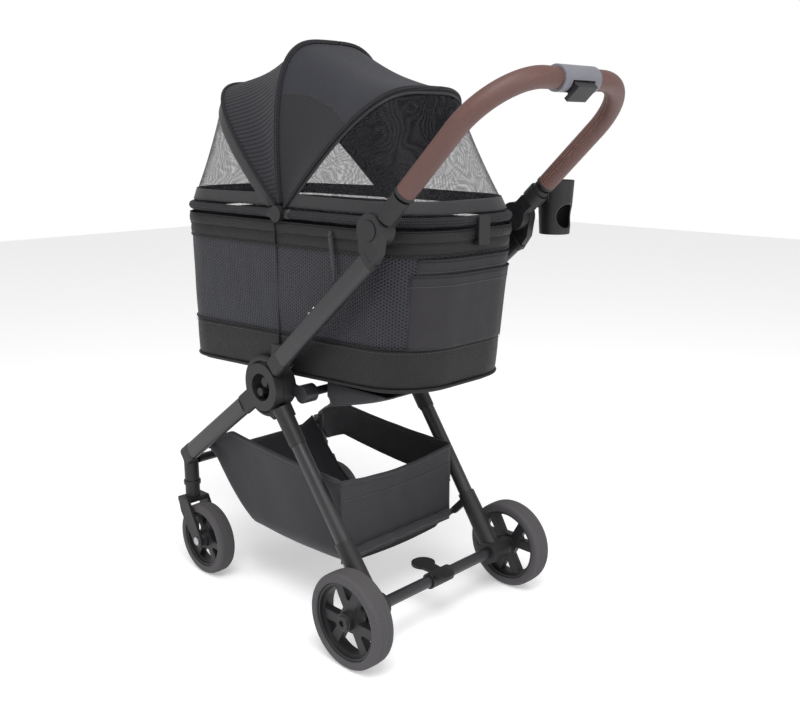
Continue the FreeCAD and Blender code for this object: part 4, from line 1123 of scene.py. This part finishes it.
def inflate(piece, pressure, cap):
    """Puff a closed mesh by cloth simulation, with a cap on how far a point may move."""
    rest = [v.co.copy() for v in piece.data.vertices]
    made = piece.modifiers.new("puff", "CLOTH")
    made.settings.use_pressure = True
    made.settings.uniform_pressure_force = pressure
    made.settings.quality = 4
    made.settings.mass = 0.2
    made.settings.tension_stiffness = 25.0
    made.settings.compression_stiffness = 25.0
    made.settings.effector_weights.gravity = 0.0
    made.collision_settings.use_collision = False
    made.collision_settings.use_self_collision = False
    made.point_cache.frame_start = 1
    made.point_cache.frame_end = 20
    scene = bpy.context.scene
    for step in range(1, 21):
        scene.frame_set(step)
    apply_modifiers(piece)
    scene.frame_set(1)
    for vertex, start in zip(piece.data.vertices, rest):
        moved = vertex.co - start
        if moved.length > cap:
            vertex.co = start + moved.normalized() * cap


# ---------------------------------------------------------------- canopy

PIVOT = Vector(JOINTS["canopy_front_open"]["pos_m"])
RING_R = 0.0075
ARCH_HALF = RIM_HALF - 0.003
TOP_ARCH = (0.301, 95.0)
REAR_ARCH = (0.306, 44.0)
FRONT_ARCH = (0.345, 137.0)
SIDE_FULLNESS = 0.55
CROWN_FULLNESS = 0.75
HEM = 0.024


def signed_power(number, power):
    return abs(number) ** power * (1.0 if number >= 0 else -1.0)


def arch_point(arch, turn, out=0.0):
    """On a canopy hoop: turn runs from 0 at the left pivot to 180 at the right one."""
    apex, angle = arch
    x = (ARCH_HALF + out) * signed_power(cos(radians(turn)), SIDE_FULLNESS)
    reach = (apex + out) * signed_power(max(0.0, sin(radians(turn))), CROWN_FULLNESS)
    lean = radians(angle)
    return Vector((x, PIVOT.y + cos(lean) * reach, PIVOT.z + sin(lean) * reach))


def even_arch(arch, count, low, out=0.0):
    """Evenly spaced points on a hoop, from just above one pivot to just above the other."""
    fine = [arch_point(arch, low + (180.0 - 2 * low) * k / 400, out) for k in range(401)]
    return evenly(fine, count)


def evenly(points, count):
    along = lengths(points)
    made = []
    k = 0
    for i in range(count + 1):
        target = along[-1] * i / count
        while k < len(along) - 2 and along[k + 1] < target:
            k += 1
        share = (target - along[k]) / max(along[k + 1] - along[k], 1e-12)
        made.append(points[k].lerp(points[k + 1], min(max(share, 0.0), 1.0)))
    return made


def ring_line(end, count, height, out=0.0):
    """Points along the canopy's lower ring from the left pivot round one end to the right pivot."""
    total, walk = round_rectangle(RIM_HALF - 0.003 + out, RIM_HALF_LENGTH - 0.003 + out, CORNER)
    reach = RIM_HALF - 0.003 - CORNER + CORNER * pi / 2 + (RIM_HALF_LENGTH - 0.003 - CORNER)
    extra = (PIVOT.y - RIM_CENTRE) * (1 if end > 0 else -1)
    points = []
    for k in range(401):
        s = -1.0 + 2.0 * k / 400
        distance = -s * (reach - extra)
        if end > 0:
            p, _ = walk(distance)
        else:
            p, _ = walk(total / 2 + s * (reach - extra))
        points.append(Vector((p.x, RIM_CENTRE + p.y, height)))
    if points[0].x < 0:
        points.reverse()
    return evenly(points, count)


def panel_rows(first, second, steps, sag):
    """Rows between two edges; the cloth between them draws in towards the pivots."""
    rows = []
    count = len(first)
    for r in range(steps + 1):
        part = r / steps
        row = []
        for c in range(count):
            p = first[c].lerp(second[c], part)
            width = (second[c] - first[c]).length
            inward = (Vector((0.0, PIVOT.y, PIVOT.z)) - p).normalized()
            depth = sag * sin(pi * part) * min(1.0, width / 0.10)
            row.append(p + inward * depth)
        rows.append(row)
    return rows


def hoop_binding(name, arch, radius, body, nodes=()):
    """Mesh-covered binding sewn along a hoop."""
    points = even_arch(arch, 150, 1.2, 0.0020)
    piece = sweep(name, points, radius, SLEEVE, sides=12, up=Vector((1, 0, 0.01)))
    riding(piece, body, nodes)


def side_seam_height(y):
    """The side panel's curved seam: level near the top hoop, falling to the rear one."""
    return PIVOT.z + 0.207 - 2.4 * (y - PIVOT.y - 0.005) ** 2


def make_canopy_tops():
    for word, arch, body, material in (("front", FRONT_ARCH, "canopy_hoop_front", RIBS),
                                       ("rear", REAR_ARCH, "canopy_hoop_rear", KNIT)):
        first = even_arch(TOP_ARCH, 130, 1.4)
        second = even_arch(arch, 130, 1.4)
        rows = panel_rows(first, second, 34, 0.010 if word == "rear" else 0.012)
        top = grid_piece("canopy_top_cloth_" + word, rows, material)
        mark = top.data.attributes.new("side_panel", "FLOAT", "POINT")
        below = [(side_seam_height(v.co.y) - v.co.z) * 20.0 for v in top.data.vertices]
        mark.data.foreach_set("value", [min(1.0, max(0.0, 0.5 + depth)) for depth in below])
        middle = len(first) // 2
        start = first[middle]
        end = second[middle]
        cloth(top, ("carrier", body, tuple(start), tuple(end)), 0.0012, (0.80, 0.26),
              ["canopy_top_" + word])
        if word == "rear":
            seams = []
            for side in (1, -1):
                line = []
                for row in rows:
                    half = row[:middle] if side > 0 else row[middle:]
                    line.append(min(half, key=lambda p: abs(p.z - side_seam_height(p.y))))
                line = evenly(line, 40)
                seams.append(sweep("seam", line, 0.0011, TAPE, sides=6, up=Vector((1, 0, 0))))
            seam = join("canopy_side_seams", seams)
            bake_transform(seam)


def ribbon(name, line, inner, width, stand, material, steps=5):
    """A strip of cloth of constant width, from line towards inner points, standing out a little."""
    rows = []
    for r in range(steps + 1):
        part = r / steps
        row = []
        for p, q in zip(line, inner):
            toward = q - p
            reach = min(width, toward.length * 0.96)
            outward = (p - Vector((0.0, PIVOT.y, PIVOT.z))).normalized()
            row.append(p + toward.normalized() * (reach * part) + outward * stand)
        rows.append(row)
    return grid_piece(name, rows, material)


def make_canopy_ends():
    """The see-through front and rear panels, their hems, sashes and piping."""
    for word, end, arch in (("front", -1, FRONT_ARCH), ("rear", 1, REAR_ARCH)):
        hoop_body = "canopy_hoop_" + word
        ring_body = "canopy_edge_" + word
        upper = even_arch(arch, 150, 1.4)
        lower = ring_line(end, 150, PIVOT.z + RING_R + 0.001)
        rows = panel_rows(upper, lower, 36, 0.004)
        net = grid_piece("canopy_net_" + word, rows, NET)
        middle = len(upper) // 2
        cloth(net, (hoop_body, ring_body, tuple(upper[middle]), tuple(lower[middle])), 0.0006, (0.90, 0.40),
              ["canopy_panel_" + word])

        foot = ring_line(end, 150, PIVOT.z + 0.002, 0.0015)
        base = [p + (q - p).normalized() * min(0.004, (q - p).length * 0.2) for p, q in zip(lower, upper)]
        hem = ribbon("canopy_hem_" + word, base, upper, HEM, 0.0014, TAPE)
        cloth(hem, ring_body, 0.0012, (1.1, HEM), None)
        skirt_rows = [foot, [a.lerp(b, 0.5) + Vector((0, 0, 0.001)) for a, b in zip(foot, base)]]
        skirt = thicken(grid_piece("canopy_skirt_" + word, skirt_rows, TAPE), 0.0010)
        riding(skirt, ring_body)

        sash_width = 0.027 if word == "front" else 0.010
        start = 5
        line, inner = upper[start:-start], lower[start:-start]
        sash = ribbon("canopy_sash_" + word, line, inner, sash_width, 0.0016, TAPE)
        cloth(sash, hoop_body, 0.0012, (0.9, sash_width), None)

    hoop_binding("canopy_binding_top", TOP_ARCH, 0.0052, "carrier", ["top_hoop"])
    hoop_binding("canopy_binding_rear", REAR_ARCH, 0.0050, "canopy_hoop_rear", ["hoop_rear"])
    hoop_binding("canopy_binding_front", FRONT_ARCH, 0.0034, "canopy_hoop_front", ["hoop_front"])


def make_canopy_rings():
    """The lower ring: a padded spacer-mesh sleeve in two halves that meet at the pivots."""
    for word, end in (("front", -1), ("rear", 1)):
        points = ring_line(end, 170, PIVOT.z, 0.0015)
        points = [p for p in points if abs(p.y - PIVOT.y) > 0.017 or abs(p.x) < 0.10]

        def girth(share):
            worn = noise.noise(Vector((share * 26.0, 2.0, 5.0 * (1 if word == "rear" else 2))))
            return RING_R + 0.0006 + 0.0007 * worn

        ring = sweep("canopy_ring_sleeve_" + word, points, girth, SLEEVE, sides=20)
        riding(ring, "canopy_edge_" + word, ["canopy_ring_" + word])
        caps = []
        for k in (0, -1):
            p = points[k]
            q = points[1] if k == 0 else points[-2]
            away = (q - p).normalized()
            ends = [p - away * 0.003, p + away * 0.012]
            caps.append(sweep("cuff", ends, RING_R + 0.0022, PLASTIC, sides=20))
        riding(join("canopy_ring_cuffs_" + word, caps), "canopy_edge_" + word)


# ---------------------------------------------------------------- basket and sling

BASKET_HALF = 0.150
BASKET_REAR = -0.1035


def basket_floor(y):
    """Height of the hammock's floor line: high at the front tube, low and flat behind."""
    front = -0.515
    share = min(max((y - front) / (BASKET_REAR - front), 0.0), 1.0)
    drop = 1.0 - min(share / 0.34, 1.0)
    slope = 0.128 + 0.130 * drop ** 1.35
    return slope - 0.007 * sin(pi * min(max((share - 0.3) / 0.7, 0.0), 1.0))


def basket_top(y):
    """Height of the side panel's sewn top edge."""
    share = min(max((y + 0.515) / (BASKET_REAR + 0.515), 0.0), 1.0)
    return 0.266 + 0.052 * min(share / 0.22, 1.0) ** 0.7 - 0.026 * max(0.0, share - 0.22) / 0.78 \
        - 0.007 * sin(pi * share)


def hammock_section(y, steps):
    """Across the basket from the left top edge down, along the floor and to its right edge."""
    top = basket_top(y)
    floor = basket_floor(y)
    depth = max(top - floor, 0.004)
    bend = min(0.032, depth * 0.6)
    wall = depth - bend
    flat = 2 * BASKET_HALF - 0.018 - bend
    arc = bend * pi / 2
    total = wall + arc + flat
    points = []
    for k in range(steps + 1):
        s = total * k / steps
        if s < wall:
            x, z = BASKET_HALF - 0.006 * sin(pi * s / max(wall, 1e-6)), top - s
        elif s < wall + arc:
            a = (s - wall) / bend
            x, z = BASKET_HALF - bend * (1 - cos(a)), floor + bend * (1 - sin(a))
        else:
            t = (s - wall - arc) / flat
            x, z = BASKET_HALF - bend - flat * t, floor - 0.006 * sin(pi * t) + 0.012 * max(0.0, t - 0.9) * 10
        points.append(Vector((x, y, z)))
    return points


def make_basket():
    blend = ("chassis", "rear_frame", (0.0, -0.44, 0.2), (0.0, -0.13, 0.2))
    count = 56
    sections = []
    for r in range(count + 1):
        y = -0.515 + (BASKET_REAR + 0.515) * r / count
        sections.append(hammock_section(y, 70))
    for r, row in enumerate(sections):
        for c, p in enumerate(row):
            fold = noise.noise(Vector((p.x * 9.0, p.y * 14.0, p.z * 9.0)))
            crease = noise.noise(Vector((p.x * 30.0, p.y * 6.0, 4.0)))
            edge = min(1.0, c / 4.0, (len(row) - 1 - c) / 4.0 + 0.2, r / 4.0 + 0.1, (count - r) / 4.0)
            p.z += (0.0035 * fold + 0.0015 * crease) * edge
            p.x += 0.0030 * fold * edge
    hammock = grid_piece("basket_hammock", [[row[c] for row in sections] for c in range(71)], POLYESTER)
    cloth(hammock, blend, 0.0014, (0.42, 0.46),
          ["storage_basket"])

    band_rows = []
    for r in range(9):
        part = r / 8
        row = []
        for k in range(61):
            share = k / 60
            y = -0.500 + (BASKET_REAR + 0.500) * share
            top = basket_top(y) - 0.002
            deep = 0.066 + 0.010 * share
            low = max(top - deep, basket_floor(y))
            z = top + (low - top) * part
            bulge = 0.003 * sin(pi * part) + 0.002 * noise.noise(Vector((share * 9, part * 2, 1.0)))
            row.append(Vector((-BASKET_HALF - bulge * 0.5, y, z)))
        band_rows.append(row)
    band = grid_piece("basket_right_band", band_rows, POLYESTER)
    cloth(band, blend, 0.0014, (0.40, 0.075), None)

    rear_rows = []
    for r in range(19):
        part = r / 18
        row = []
        for k in range(61):
            share = k / 60
            x = (BASKET_HALF - 0.001) * (1 - 2 * share)
            middle = sin(pi * share)
            top = basket_top(BASKET_REAR) - 0.004 - 0.012 * middle
            low = basket_floor(BASKET_REAR) + 0.003
            belly = 0.010 * sin(pi * part) * middle
            fold = 0.0022 * noise.noise(Vector((share * 8.0, part * 2.5, 9.0)))
            row.append(Vector((x, BASKET_REAR + belly * -0.5 + fold * middle, top + (low - top) * part)))
        rear_rows.append(row)
    rear = grid_piece("basket_rear_panel", rear_rows, POLYESTER)
    cloth(rear, "rear_frame", 0.0014, (0.30, 0.16), None)

    hems = [sweep("hem", [sections[r][0] for r in range(count + 1)], 0.0030, POLYESTER, sides=10, flat=1.6),
            sweep("hem", [sections[r][-1] for r in range(count + 1)], 0.0024, POLYESTER, sides=10, flat=1.0),
            sweep("hem", band_rows[0], 0.0030, POLYESTER, sides=10, flat=1.6),
            sweep("hem", band_rows[-1], 0.0024, POLYESTER, sides=10)]
    hem = join("basket_hems", hems)
    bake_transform(hem)
    rear_hem = [sweep("hem", rear_rows[0], 0.0034, POLYESTER, sides=10, flat=1.4),
                sweep("hem", [p + Vector((0, 0.0016, 0)) for p in rear_rows[4]], 0.0006, THREAD, sides=6)]
    riding(join("basket_rear_hem", rear_hem), "rear_frame")
    low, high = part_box("basket_rear_bar")
    bar_y, bar_z = (low.y + high.y) / 2, (low.z + high.z) / 2
    roll = [Vector((x, bar_y, bar_z)) for x in (-0.136, -0.10, -0.05, 0.0, 0.05, 0.10, 0.136)]
    roll = [p + Vector((0, 0, -0.0006 * (k % 2))) for k, p in enumerate(roll)]
    sleeve = sweep("basket_bar_sleeve", evenly(roll, 60), lambda s: 0.0078 + 0.0006 * sin(40 * s), POLYESTER,
                   sides=16)
    riding(sleeve, "rear_frame")


def make_sling():
    """The gathered pouch under the carrier's middle."""
    low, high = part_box("deck_sling")
    half = high.x
    rows = []
    for r in range(31):
        part = r / 30
        y = low.y + (high.y - low.y) * part
        deep = (high.z - low.z) * (1.0 - part) ** 0.75 * 0.97 + 0.004
        row = []
        for k in range(81):
            share = k / 80
            across = 2 * share - 1
            side = (1 - abs(across) ** 5) ** 0.5 if abs(across) < 1 else 0.0
            pleat = 0.0035 * cos(across * 46.0) * (1 - part) ** 1.4 * side
            x = half * signed_power(sin(across * pi / 2), 0.8)
            z = high.z - deep * side - pleat
            row.append(Vector((x, y + 0.004 * cos(across * 30.0) * (1 - part) * side, z)))
        rows.append(row)
    front = [[p.lerp(Vector((p.x, low.y + 0.001, high.z)), r / 6) for p in rows[0]] for r in range(6, 0, -1)]
    sling = grid_piece("under_sling", front + rows, POLYESTER)
    cloth(sling, "chassis", 0.0014, (0.26, 0.24), ["deck_sling"])


# ---------------------------------------------------------------- handle details

HANDLE_HUB = Vector(JOINTS["handle_tilt"]["pos_m"])
HANDLE_LEAN = radians(43.6)
GRIP_HALF = 0.179
GRIP_REACH = 0.3295
GRIP_BEND = 0.106
GRIP_RADIUS = 0.0165
GRIP_START = 0.086


def handle_point(x, distance, out=0.0):
    y = HANDLE_HUB.y + cos(HANDLE_LEAN) * distance - sin(HANDLE_LEAN) * out
    z = HANDLE_HUB.z + sin(HANDLE_LEAN) * distance + cos(HANDLE_LEAN) * out
    return Vector((x, y, z))


def handle_inside(start, end_x, inward, out, steps=120):
    """A line on the inner side of the bent handle, from the socket up and across to end_x."""
    half = GRIP_HALF - inward
    reach = GRIP_REACH - inward
    bend = GRIP_BEND - inward
    points = [(half, start + (reach - bend - start) * k / 20) for k in range(21)]
    points += [(half - bend + bend * cos(a), reach - bend + bend * sin(a))
               for a in (radians(90.0 * k / 30) for k in range(1, 31))]
    points += [(half - bend + (end_x - half + bend) * k / 10, reach) for k in range(1, 11)]
    return evenly([handle_point(x, d, out) for x, d in points], steps)


def make_grip_stitching():
    for word, side in SIDES:
        made = []
        for out in (-0.0026, 0.0026):
            line = handle_inside(GRIP_START + 0.004, 0.050, GRIP_RADIUS + 0.0001, out)
            line = [Vector((p.x * side, p.y, p.z)) for p in line]
            normals = [Vector((0, 0, 0))] * len(line)
            made.append(stitches("grip_stitch", line, normals, 0.0036, 0.0018, 0.00050, GRIP_THREAD))
        seam = handle_inside(GRIP_START + 0.002, 0.048, GRIP_RADIUS - 0.0003, 0.0)
        seam = [Vector((p.x * side, p.y, p.z)) for p in seam]
        made.append(sweep("grip_seam", seam, 0.0008, GRIP, sides=6))
        riding(join("grip_seam_" + word, made), "handle")
        cuff = [handle_point(side * GRIP_HALF, GRIP_START + d) for d in (-0.0022, -0.0010, 0.0018, 0.0030)]
        ring = sweep("grip_cuff_" + word, cuff, GRIP_RADIUS + 0.0006, PLASTIC, sides=32)
        riding(ring, "handle")


def grip_thread():
    finish = Finish("grip_thread", (0.16, 0.085, 0.07), 0.6, Sheen_Weight=0.3)
    twist = finish.group("thread_weave", Vector=finish.body, Pitch=0.0006)
    # painted shade in the low places of the twist, from the weave's Shade, plus slub tone
    finish.paint(finish.tinted(twist["Shade"], 1.5))
    finish.bump(twist["Height"], 0.0002, 0.6)
    return finish.material


GRIP_THREAD = grip_thread()


# ---------------------------------------------------------------- studio

SKY_LIGHT = 0.58
FLOOR_GLOW = 0.32


def make_studio():
    size = 14.0
    steps = 40
    rows = []
    for r in range(steps + 1):
        y = size * (r / steps - 0.5)
        rows.append([Vector((size * (k / steps - 0.5), y, 0.0)) for k in range(steps + 1)])
    pale = Finish("studio_floor", (0.86, 0.86, 0.87), 0.65)
    tone = pale.cloud(pale.body, 3.0, 2.0)
    pale.paint(pale.tinted(pale.maths("MULTIPLY", tone, 0.2), 0.97))
    pale.shader.inputs["Emission Color"].default_value = (1.0, 1.0, 1.0, 1.0)
    pale.shader.inputs["Emission Strength"].default_value = FLOOR_GLOW
    floor = grid_piece("studio_floor", rows, pale.material)

    world = bpy.data.worlds.new("studio")
    world.use_nodes = True
    backdrop = world.node_tree.nodes["Background"]
    backdrop.inputs["Color"].default_value = (1.0, 1.0, 1.0, 1.0)
    backdrop.inputs["Strength"].default_value = SKY_LIGHT
    paths = world.node_tree.nodes.new("ShaderNodeLightPath")
    seen = world.node_tree.nodes.new("ShaderNodeMapRange")
    seen.inputs["To Min"].default_value = SKY_LIGHT
    seen.inputs["To Max"].default_value = 1.0
    world.node_tree.links.new(paths.outputs["Is Camera Ray"], seen.inputs["Value"])
    world.node_tree.links.new(seen.outputs["Result"], backdrop.inputs["Strength"])
    bpy.context.scene.world = world
    bpy.context.scene.view_settings.view_transform = "Standard"

    middle = Vector((0.0, -0.2, 0.5))
    lamps = (("key", (1.2, 1.2, 3.2), 1.8, 78.0), ("side", (3.0, -1.4, 1.6), 1.4, 16.0),
             ("rear", (-0.6, 2.8, 1.7), 1.6, 26.0))
    for name, place, width, power in lamps:
        light = bpy.data.lights.new(name, "AREA")
        light.shape = "RECTANGLE"
        light.size = width
        light.size_y = width
        light.energy = power
        lamp = bpy.data.objects.new(name, light)
        lamp.location = place
        lamp.rotation_euler = (middle - Vector(place)).to_track_quat("-Z", "Y").to_euler()
        bpy.context.scene.collection.objects.link(lamp)


def make_camera():
    azimuth = radians(133.667)
    elevation = radians(13.252)
    back = Vector((sin(azimuth) * cos(elevation), -cos(azimuth) * cos(elevation), sin(elevation)))
    data = bpy.data.cameras.new("camera")
    data.sensor_width = 36.0
    data.lens = 42.948
    data.shift_x = -0.02179
    data.shift_y = 0.0005
    camera = bpy.data.objects.new("camera", data)
    camera.location = (1.2273, 1.1198, 0.9087)
    camera.rotation_euler = (-back).to_track_quat("-Z", "Y").to_euler()
    bpy.context.scene.collection.objects.link(camera)
    bpy.context.scene.camera = camera


# ---------------------------------------------------------------- assembly

make_camera()
make_studio()
for word, side in SIDES:
    make_tyre(word, "rear", 90)
    make_tyre(word, "front", 78)
    make_wheel_caps(word, "rear")
    make_wheel_caps(word, "front")
make_carrier_shell()
make_carrier_piping()
make_carrier_stitching()
make_pocket()
make_side_straps()
make_base_cover()
make_floor_pad()
make_canopy_tops()
make_canopy_ends()
make_canopy_rings()
make_basket()
make_sling()
make_grip_stitching()
finish_hard_parts()
